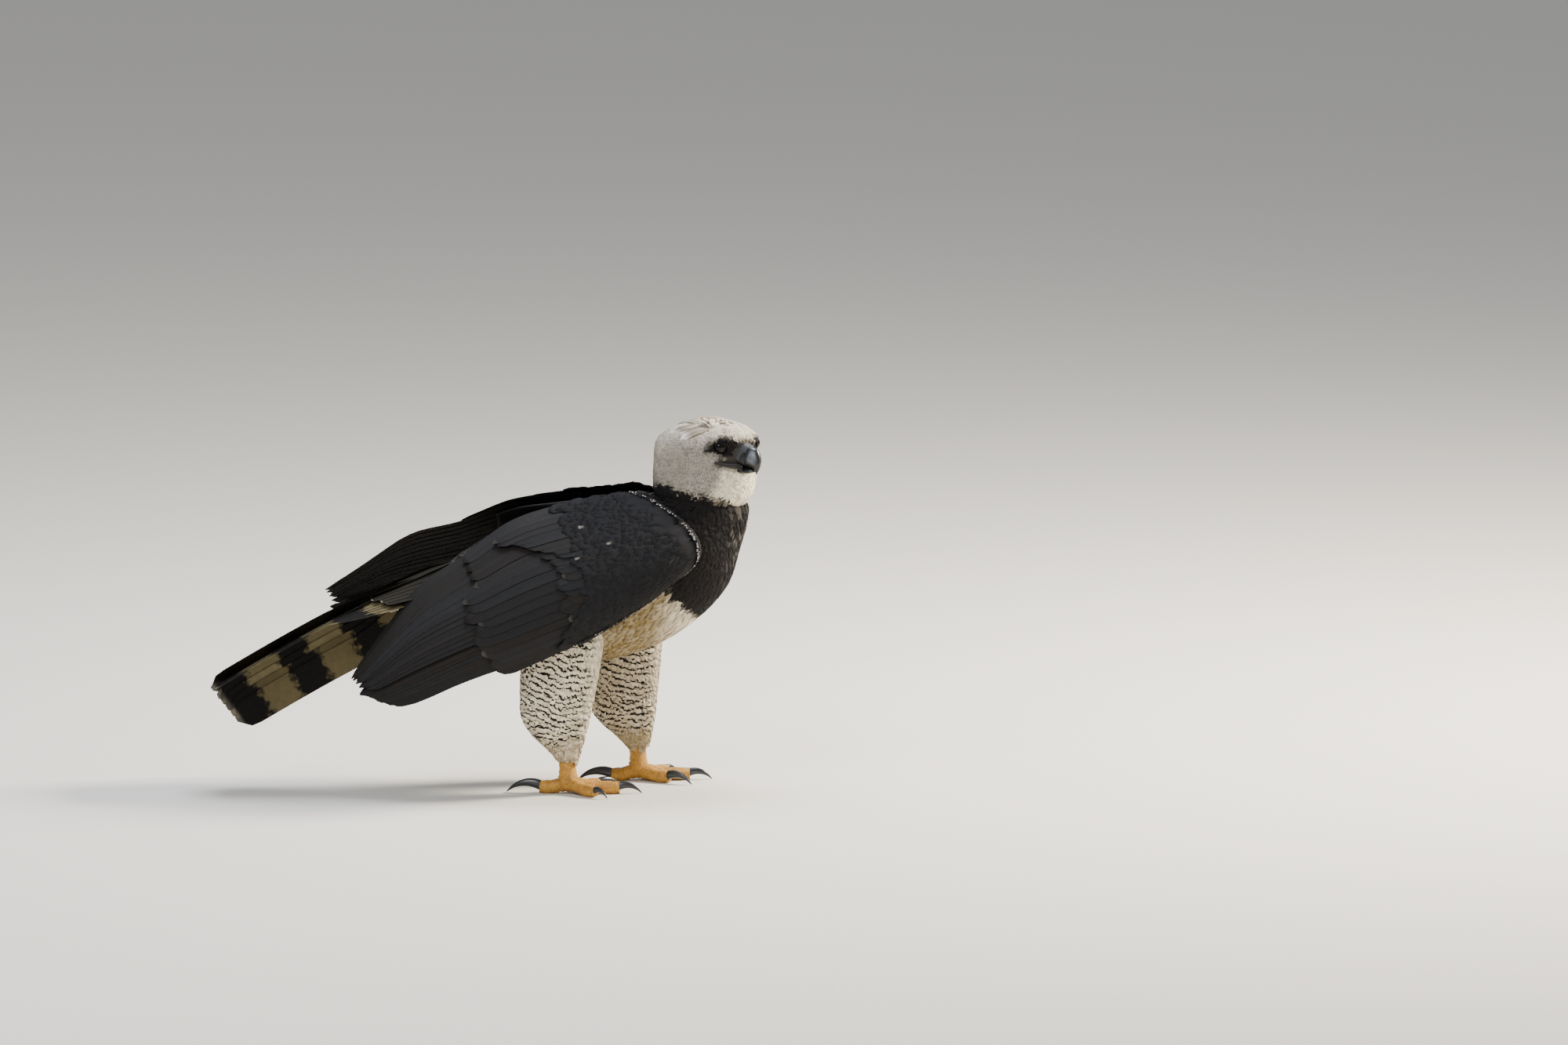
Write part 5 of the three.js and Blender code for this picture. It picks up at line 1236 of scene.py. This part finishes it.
# Flight feather, stiff barbs zipped into a smooth vane: slate with a low, silky sheen.
slate_plumage = plumage("slate_flight_feather", SLATE, painted_root_shade=0.95, roughness=0.75, shine=0.18,
                        tip_from=0.96)
# Covert, shorter and softer than a flight feather: the same slate, nearly matt, like velvet.
covert_plumage = plumage("slate_covert_feather", SLATE, painted_root_shade=0.93, roughness=0.8, shine=0.14)
for side_name, side in (("right", -1), ("left", 1)):
    face, core, outer_face = wing(side), arm(side), wing_face(side)
    rng = np.random.default_rng(21)
    points, faces = sweep(core, 0.0, ARM["end"], ARM["rings"], ARM["sides"], 0.0)
    pad = new_piece(f"wing_arm_{side_name}", place(points), faces, slate_plumage)
    set_attribute(pad.data, "vane", "FLOAT_COLOR", np.full((len(points), 4), BARE_VANE))
    pieces = [pad]

    for name, sizes in WING_TIERS.items():
        line, normal, half = tier(face, side, sizes, rng)
        count = sizes["count"]
        dark = rng.uniform(0, TINTS["vane"][0], count)
        brown = rng.uniform(0, TINTS["vane"][1], count) ** 2
        pale_tip = FLECKS["tip_weight"] * (rng.uniform(0, 1, count) < FLECKS["tip_share"])
        marks = np.column_stack((brown, dark, np.zeros(count), pale_tip))
        values = {"marking": marks, "random": rng.uniform(0, 1, count), "bar": np.zeros(half.shape)}
        thick = np.full(half.shape, VANE_THICKNESS)
        pieces.append(blades(f"{name}_{side_name}", line, normal, half, thick, FEATHER_RING, values,
                             strips(count), slate_plumage, droop=0.04))

    # Small coverts lie over the roots of the tiers, down to a ragged line.
    field = COVERT_FIELD
    s, turn = scattered(outer_face, 0.0, field["to"], COVERT_ROWS["spacing"], rng)
    t = turn / (2 * np.pi)
    thinned = 1 - rng.uniform(0, 1, len(s)) ** 3 * field["ragged"]
    end = field["to"] * (1 - field["above"] * t) * thinned
    inside = (t > field["low"]) & (t < field["high"]) & (s < end)
    s, turn = s[inside], turn[inside]
    lie = unit(slopes(outer_face, s, turn)[0]) - np.array((0, 0, COVERT_ROWS["hang"]))
    count = len(s)
    brown = rng.uniform(0, TINTS["covert"][1], count) ** 2
    dark = rng.uniform(0, TINTS["covert"][0], count)
    pale_tip = FLECKS["weight"] * (rng.uniform(0, 1, count) < FLECKS["share"])
    marks = np.column_stack((brown, dark, np.zeros(count), pale_tip))
    sizes = {**COVERT_ROWS, "rise": (COVERT_ROWS["rise"] * (COVERT_RISE[0] - COVERT_RISE[1] * s))[:, None]}
    pieces.append(coat(f"lesser_coverts_{side_name}", outer_face, (s, turn), lie, sizes, rng, 0.0, marks,
                       covert_plumage, unwrapped(2.3), outward=-side))

    # The same kind wraps the whole arm at the bend, some with pale tips in front and along its foot.
    s, turn = scattered(core, MARGIN["from"], MARGIN["to"], COVERT_ROWS["spacing"], rng)
    lie = unit(slopes(core, s, turn)[0]) - np.array((0, 0, MARGIN["hang"]))
    count = len(s)
    edge = np.maximum(1 - smooth_step(s, *MARGIN["bend"]), smooth_step(-np.cos(turn), *MARGIN["low"]))
    brown = rng.uniform(0, TINTS["margin"][1], count) ** 2
    dark = rng.uniform(0, TINTS["margin"][0], count)
    pale_tip = edge * FLECKS["edge_weight"] * (rng.uniform(0, 1, count) < FLECKS["edge_share"])
    marks = np.column_stack((brown, dark, np.zeros(count), pale_tip))
    pieces.append(coat(f"marginal_coverts_{side_name}", core, (s, turn), lie, COVERT_ROWS, rng, 0.0, marks,
                       covert_plumage, unwrapped(1.7), outward=side))

    # A line of short white-tipped feathers follows the edge of the wing round its bend.
    way = np.cumsum(rng.uniform(0.5, 1.5, EDGE_ROW["count"]))
    way = way / way[-1]
    s, t = (np.interp(way, EDGE_ROW["way"], EDGE_ROW[key]) for key in ("s", "t"))
    s = s + rng.uniform(0, EDGE_ROW["moved"], len(s))
    t = t + rng.uniform(-EDGE_ROW["moved"], EDGE_ROW["moved"], len(t))
    lie = unit(slopes(outer_face, s, t * 2 * np.pi)[0])
    clumps = np.sin(way * EDGE_ROW["clumps"][0]) + np.sin(way * EDGE_ROW["clumps"][1] + 1)
    clumps = clumps + 2 * np.sin(way * np.pi) + rng.normal(0, EDGE_ROW["loose"], len(s))
    marks = np.tile((0.0, 0.0, 0.0, 1.0), (len(s), 1)) * (clumps > EDGE_ROW["least"])[:, None]
    pieces.append(coat(f"edge_coverts_{side_name}", outer_face, (s, t * 2 * np.pi), lie, EDGE_ROW, rng, 0.0,
                       marks, covert_plumage, unwrapped(2.3, 0.9), outward=-side))
    for piece in pieces:
        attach(piece, "root")
        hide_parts(f"wing_{side_name}")


# The tail, closed like a roof: twelve long barred feathers in two stacks on both sides of a rounded ridge,
# with black, white-edged coverts over its root and ones under it drawn dusky as painted shade.

TAIL = {"root": (-212, 8, 366), "tip": (-600, 0, 160), "bend": 7, "limb": math.radians(33),
        "roll": math.radians(42), "ridge": 16, "stack": 1.3}
RECTRICES = {"pairs": 6, "first": 3, "second": 17, "spacing": 12.4, "half": 25, "under": -1.1,
             "side_height": -4.4, "clear": 2, "shorten": 2, "from": 0.03, "bar": 112, "bar_start": 0.25,
             "bar_moved": 0.05, "stations": 26, "gather": 2.5, "ends": (0.45, 0.07)}
# Grey, black, bars and pale tip: the middle pair is dark with dim bars, the others barred.
RECTRIX_MARKS = {"middle": (0.3, 0.8, 0.5, 0.2), "side": (0.0, 0.0, 1.0, 0.2)}
TAIL_COVERTS = {
    "upper": {"pairs": 6, "first": 6, "spacing": 10, "half": 16, "length": 152, "shorten": 6, "height": 5,
              "stack": 1, "marks": (0.3, 0.9, 0, 0.75)},
    # The lower coverts' black is painted shade under the tail.
    "lower": {"pairs": 4, "first": 9, "spacing": 12, "half": 13, "length": 150, "shorten": 14,
              "height": -15, "stack": -0.3, "marks": (0.1, 0.5, 0, 0.5)},
}
QUILL_THICKNESS = 0.45
# The cream and buff stand in for the tail's pale bands as they look in shade: painted shade darkens them to
# olive-buff.
SHADED_TAIL_COLOURS = {
    "cream": "#6b6248", "buff": "#544b33", "white": "#b9b3a4", "grey": "#3a352e", "black": "#121110",
    "bar": "#121110",
}


def tail(s, t, extra=0.0):
    """The roof of the tail at s along it and t millimetres across: straight limbs fall away on both
    sides of a rounded ridge, and the whole roof rolls about its length towards the tip."""
    root, tip = np.array(TAIL["root"], float), np.array(TAIL["tip"], float)
    along = unit(tip - root)
    lift, side = unit(np.array((along[2], 0, -along[0]))), np.array((0.0, 1.0, 0.0))
    s, t = np.broadcast_arrays(np.asarray(s, float), np.asarray(t, float))
    arc = TAIL["ridge"] * TAIL["limb"]
    inner, rest = np.minimum(np.abs(t), arc) / TAIL["ridge"], np.maximum(0, np.abs(t) - arc)
    out = (np.sin(inner) * TAIL["ridge"] + rest * math.cos(TAIL["limb"])) * np.sign(t)
    down = (1 - np.cos(inner)) * TAIL["ridge"] + rest * math.sin(TAIL["limb"])
    roll = TAIL["roll"] * np.clip(s * 2, 0, 1)
    across = side * np.cos(roll)[..., None] - lift * np.sin(roll)[..., None]
    rise = lift * np.cos(roll)[..., None] + side * np.sin(roll)[..., None]
    bend = TAIL["bend"] * np.sin(np.pi * np.clip(s, 0, 1))
    point = root + along * (s * np.linalg.norm(tip - root))[..., None] + lift * bend[..., None]
    return point + across * out[..., None] - rise * down[..., None]


def tail_feathers(name, at, half, height, first, last, clear, marks, bar, material, rng):
    """Tail feathers side by side, each from first to last along the roof, gathered to half their
    spacing at the root. One that lies on a limb keeps its inner edge clear of the ridge, so it is
    narrower there and its middle moves out."""
    steps = np.linspace(0, 1, RECTRICES["stations"])
    count = len(at)
    side = np.sign(at)[:, None]
    centre = at[:, None] * (0.5 + 0.5 * np.clip(steps * RECTRICES["gather"], 0, 1))
    width = half[:, None] * blade_width(steps, *RECTRICES["ends"])
    inner, outer = side * centre - width, side * centre + width
    inner = np.where(clear[:, None], np.maximum(inner, RECTRICES["clear"]), inner)
    middle, width = side * (inner + outer) / 2, (outer - inner) / 2
    s = first[:, None] + (last - first)[:, None] * steps
    sunk = TIER_ROOT_SUNK * np.clip(1 - steps * 4, 0, 1)
    normal = slopes(tail, s, middle)[2]
    line = tail(s, middle) + normal * (height[:, None] - sunk)[..., None]
    length = (last - first) * np.linalg.norm(np.subtract(TAIL["tip"], TAIL["root"]))
    phase = np.zeros(s.shape)
    if bar:
        # A whole hundred keeps the count above nought, so that its fraction runs one way.
        phase = (steps - 1) * length[:, None] / bar + RECTRICES["bar_start"] + 100
        phase = phase + rng.uniform(-RECTRICES["bar_moved"], RECTRICES["bar_moved"], (count, 1))
    values = {"marking": marks, "random": rng.uniform(0, 1, count), "bar": phase}
    return blades(name, line, normal, width, np.full(width.shape, QUILL_THICKNESS), FEATHER_RING, values,
                  strips(count), material, droop=0.03)


rng = np.random.default_rng(31)
tail_length = np.linalg.norm(np.subtract(TAIL["tip"], TAIL["root"]))
# Tail feather, the stiffest of all: pale bands darkened to olive-buff by painted shade, wide black bars, a
# faint sheen and thin white tips.
tail_plumage = plumage("barred_tail_feather", SHADED_TAIL_COLOURS, bar_width=0.5, wobble=0.35, painted_root_shade=0.95,
                       roughness=0.8, shine=0.12, tip_from=0.97)
pair, side = (v.ravel() for v in np.meshgrid(np.arange(RECTRICES["pairs"]), (1, -1), indexing="ij"))
outer = pair > 0
at = side * np.where(outer, RECTRICES["second"] + (pair - 1) * RECTRICES["spacing"], RECTRICES["first"])
height = np.where(outer, RECTRICES["side_height"] - (pair - 1) * TAIL["stack"],
                  np.where(side > 0, 0, RECTRICES["under"]))
last = 1 - pair * RECTRICES["shorten"] / tail_length
marks = np.where(outer[:, None], RECTRIX_MARKS["side"], RECTRIX_MARKS["middle"])
rectrices = tail_feathers("tail_feathers", at, np.full(len(at), RECTRICES["half"]), height,
                          np.full(len(at), RECTRICES["from"]), last, outer, marks, RECTRICES["bar"],
                          tail_plumage, rng)
pieces = [rectrices]
for name, sizes in TAIL_COVERTS.items():
    pair, side = (v.ravel() for v in np.meshgrid(np.arange(sizes["pairs"]), (1, -1), indexing="ij"))
    at = side * (sizes["first"] + pair * sizes["spacing"])
    height = sizes["height"] - pair * TAIL["stack"] * sizes["stack"]
    last = (sizes["length"] - pair * sizes["shorten"] + rng.normal(0, 5, len(at))) / tail_length
    pieces.append(tail_feathers(f"tail_coverts_{name}", at, np.full(len(at), sizes["half"]), height,
                                np.zeros(len(at)), last, pair > 0, np.tile(sizes["marks"], (len(at), 1)), 0,
                                tail_plumage if name == "upper" else body_plumage, rng))
for piece in pieces:
    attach(piece, "root")
    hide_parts("tail")


# The thighs' loose feathering, down to the ankles: soft white feathers with thin black bars that line up
# from one to the next in wavering rows, warmer towards the foot, and tinted buff on the far leg as painted
# shade.

TROUSER_ROWS = {"spacing": 4.8, "length": 22, "half": 5.0, "rise": 6.0, "backward": 0.25, "from": 0.1}
BAR_SLOPE = {"rise": 0.45, "to": 10}
BAR_WAVER = {"each": 0.06, "all": 0.45, "size": 16}
# Buff tint on the thighs: a little on both, more as painted shade on the far one, and more towards the
# foot.
THIGH_BUFF_AND_SHADE = {"all": 0.12, "far": 0.3, "foot": 0.45, "z": (85, 120)}

for side_name, side in (("right", -1), ("left", 1)):
    rng = np.random.default_rng(41 + side)
    thigh = trouser(side)
    depth = -SKIN_DEPTH["trouser"]
    t, angle = scattered(thigh, TROUSER_ROWS["from"], 1.0, TROUSER_ROWS["spacing"], rng, depth)
    roots = thigh(t, angle, depth)
    free = spine_fraction(roots) > TRUNK_HIDES
    t, angle, roots = t[free], angle[free], roots[free]
    lie = unit(slopes(thigh, t, angle, depth)[0]) - np.array((TROUSER_ROWS["backward"], 0, 0))
    ahead = roots[:, 0] - between(TROUSER, t)[:, 0] - leg_shift(side, roots[:, 2])
    ahead = np.minimum(ahead, BAR_SLOPE["to"])
    phase = -(roots[:, 2] + BAR_SLOPE["rise"] * ahead)[:, None] / BAR_SPACING
    phase = phase + rng.normal(0, BAR_WAVER["each"], (len(t), 1))
    phase = phase + BAR_WAVER["all"] * ragged(roots, BAR_WAVER["size"], 51)[:, None]
    foot = 1 - smooth_step(roots[:, 2], *THIGH_BUFF_AND_SHADE["z"])
    piece = coat(f"thigh_feathers_{side_name}", thigh, (t, angle), lie, TROUSER_ROWS, rng, depth,
                 thigh_marking(roots, side), body_plumage, unwrapped(0.97), bar=(phase, BAR_SPACING),
                 outward=-1, buff_shade_and_stain=THIGH_BUFF_AND_SHADE["all"] + THIGH_BUFF_AND_SHADE["far"] * (side > 0) + THIGH_BUFF_AND_SHADE["foot"] * foot)
    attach(piece, "root")


# The feet: bare yellow skin with overlapping scutes along the front of the ankle and the top of each
# toe, wrinkled pads below that rest flat on the floor, and four great curved claws of dark horn.

ANKLE = {"x": -25, "y": 71, "half": 13.5, "base": 17, "path": [(-2, 0, 66), (-1, 0, 40), (0, 0, 18)]}
TOES = {
    "toe_1": {"turn": 172, "length": 46, "half": 11.5, "claw": 66, "claw_half": 8.2},
    "toe_2": {"turn": 34, "length": 58, "half": 11, "claw": 56, "claw_half": 7.4},
    "toe_3": {"turn": -2, "length": 82, "half": 11, "claw": 46, "claw_half": 6.6},
    "toe_4": {"turn": -46, "length": 62, "half": 10, "claw": 38, "claw_half": 5.8},
}
TOE_RISE = (16, 13, 9, 10)
TOE_SWELL = (1.15, 1, 0.94, 1.02, 0.84)
SCUTE = {"toe": 4.6, "ankle": 6.5, "height": 0.9, "bulge": 1.6, "round": 0.5, "pad": 0.5,
         "pad_length": 9}
FOOT_GRID = {"ankle": (60, 32), "toe": (100, 28)}
# A path that rises more steeply than this, as the ankle's does, has its plates in front.
STEEP = 0.95
CLAW = {"curl": math.radians(78), "tilt": math.radians(30), "root": 6, "tip_height": 1.2, "squash": 0.8,
        "rings": 40, "sides": 20}
CLAW_SWELL = (0.96, 0.96, 0.82, 0.6, 0.34, 0.09)
SHANK_SQUASH = 0.92
# Millimetres across a scale and a stain, and how deep the grooves between the scales lie.
SKIN_GRAIN = {"scale": 2.381, "stain": 14.286, "depth": 0.6}
FOOT_COLOURS = {"yellow": "#c9922f", "groove_shade_and_stain": "#7d5518", "claw": "#131416", "claw_lit": "#2e3135"}


def taper(path, halves, rings, sides, squash=1.0, plate=0.0, floor_level=None):
    """A tube along a smooth path through a few points, its half width a smooth curve of its own. Plates,
    if any, are teeth of a saw along its top, highest at each plate's far edge, and the underside is
    pushed up to the floor."""
    t = np.linspace(0, 1, rings)
    middle, half = between(path, t), between(halves, t)[:, 0]
    along = unit(np.gradient(middle, axis=0))
    steep = np.abs(along[:, 2:]) > STEEP
    side = unit(np.cross(np.where(steep, (1.0, 0, 0), (0, 0, 1.0)), along))
    rise = np.cross(along, side)
    turn = (np.arange(sides) + 0.5) / sides * 2 * np.pi
    travelled = np.concatenate(([0], np.cumsum(np.linalg.norm(np.diff(middle, axis=0), axis=-1))))
    out = half[:, None] * np.ones(sides)
    if plate:
        saw = (travelled / plate) % 1
        ridge = np.where(steep[:, :1], np.clip(-np.sin(turn), 0, 1), np.clip(np.sin(turn), 0, 1))
        ridge = ridge ** SCUTE["round"]
        wave = np.sin(travelled * 2 * np.pi / SCUTE["pad_length"])[:, None]
        pads = np.clip(-np.sin(turn), 0, 1) * wave * SCUTE["pad"]
        out = out + SCUTE["height"] * (saw ** SCUTE["bulge"])[:, None] * ridge + pads
    aside = side[:, None] * (np.cos(turn) * out * squash)[..., None]
    points = middle[:, None] + aside + rise[:, None] * (np.sin(turn) * out)[..., None]
    if floor_level is not None:
        points[..., 2] = np.maximum(points[..., 2], floor_level)
    return tube(points)


# Horny scales over living skin: yellow, with darker stains and painted shade in the grooves between scales,
# a little translucent and half shiny.
scaly_skin, shader = new_material("scaly_yellow_skin", Roughness=0.45, **{"Subsurface Weight": 0.08,
                                                                         "Subsurface Scale": 0.002})
tree = scaly_skin.node_tree
spot = add_node(tree, "ShaderNodeTexCoord")
scales = add_node(tree, "ShaderNodeTexVoronoi", feature="DISTANCE_TO_EDGE",
                  values={"Scale": to_metre(SKIN_GRAIN["scale"])}, links={"Vector": spot.outputs["Object"]})
groove = add_node(tree, "ShaderNodeMapRange", values={"From Max": 0.12},
                  links={"Value": scales.outputs["Distance"]})
stain = add_node(tree, "ShaderNodeTexNoise", links={"Vector": spot.outputs["Object"]},
                 values={"Scale": to_metre(SKIN_GRAIN["stain"]), "Detail": 5.0})
# Painted shade: the grooves between scales, times the stains, darken the yellow towards the darker colour.
scale_shade_and_stain = add_node(tree, "ShaderNodeMath", operation="MULTIPLY",
                links={0: groove.outputs[0], 1: stain.outputs["Fac"]})
tint = add_node(tree, "ShaderNodeMapRange", values={"From Min": 0.1, "From Max": 0.55},
                links={"Value": scale_shade_and_stain.outputs[0]})
colour = add_node(tree, "ShaderNodeMix", data_type="RGBA", links={"Factor": tint.outputs[0]},
                  values={"A": linear(FOOT_COLOURS["groove_shade_and_stain"]), "B": linear(FOOT_COLOURS["yellow"])})
tree.links.new(colour.outputs["Result"], shader.inputs["Base Color"])
bump = add_node(tree, "ShaderNodeBump", values={"Strength": 0.6, "Distance": SKIN_GRAIN["depth"] / 1000},
                links={"Height": groove.outputs[0]})
tree.links.new(bump.outputs[0], shader.inputs["Normal"])
# Keratin again, kept sharp and polished by use: blacker and shinier than the bill, with a painted highlight
# that pales each claw towards its root.
claw_horn = horn("polished_claw_horn", FOOT_COLOURS["claw"], FOOT_COLOURS["claw_lit"], 0.25)

for side_name, side in (("right", -1), ("left", 1)):
    heel = np.array((ANKLE["x"] + leg_shift(side, 0), side * ANKLE["y"], 0.0))
    halves = (ANKLE["half"], ANKLE["half"], ANKLE["base"])
    shank = heel + np.array(ANKLE["path"])
    parts = [taper(shank, halves, *FOOT_GRID["ankle"], SHANK_SQUASH, SCUTE["ankle"], 0.0)]
    for toe_name, toe in TOES.items():
        turn = math.radians(-side * toe["turn"])
        ahead = np.array((math.cos(turn), math.sin(turn), 0.0))
        f = np.linspace(0, 1, len(TOE_RISE))
        path = heel + ahead * toe["length"] * f[:, None]
        path[:, 2] += TOE_RISE
        halves = np.array(TOE_SWELL) * toe["half"]
        parts.append(taper(path, halves, *FOOT_GRID["toe"], 1.0, SCUTE["toe"], 0.0))

        radius = toe["claw"] / CLAW["curl"]
        f = np.linspace(0, 1, len(CLAW_SWELL))
        forward = radius * (np.sin(f * CLAW["curl"] - CLAW["tilt"]) + math.sin(CLAW["tilt"]))
        rise = radius * (np.cos(f * CLAW["curl"] - CLAW["tilt"]) - math.cos(CLAW["tilt"]))
        claw_path = path[3] + ahead * (forward - CLAW["root"])[:, None]
        claw_path[:, 2] += rise
        claw_path[:, 2] -= (claw_path[-1, 2] - CLAW["tip_height"]) * f**2
        halves = np.array(CLAW_SWELL) * toe["claw_half"]
        points, faces = taper(claw_path, halves, CLAW["rings"], CLAW["sides"], CLAW["squash"])
        claw = new_piece(f"talon_{side_name}_{toe_name}", place(points), faces, claw_horn)
        # Painted highlight: the lit share runs from full at the claw's root to none at its tip.
        set_attribute(claw.data, "lit", "FLOAT", np.repeat(np.linspace(1, 0, CLAW["rings"]), CLAW["sides"]))
        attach(claw, "root")
        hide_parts(f"claw_{side_name}_{toe_name}")
    points, faces = joined(parts)
    foot = new_piece(f"scaly_foot_{side_name}", place(points), faces, scaly_skin)
    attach(foot, "root")
    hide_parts(f"foot_{side_name}")
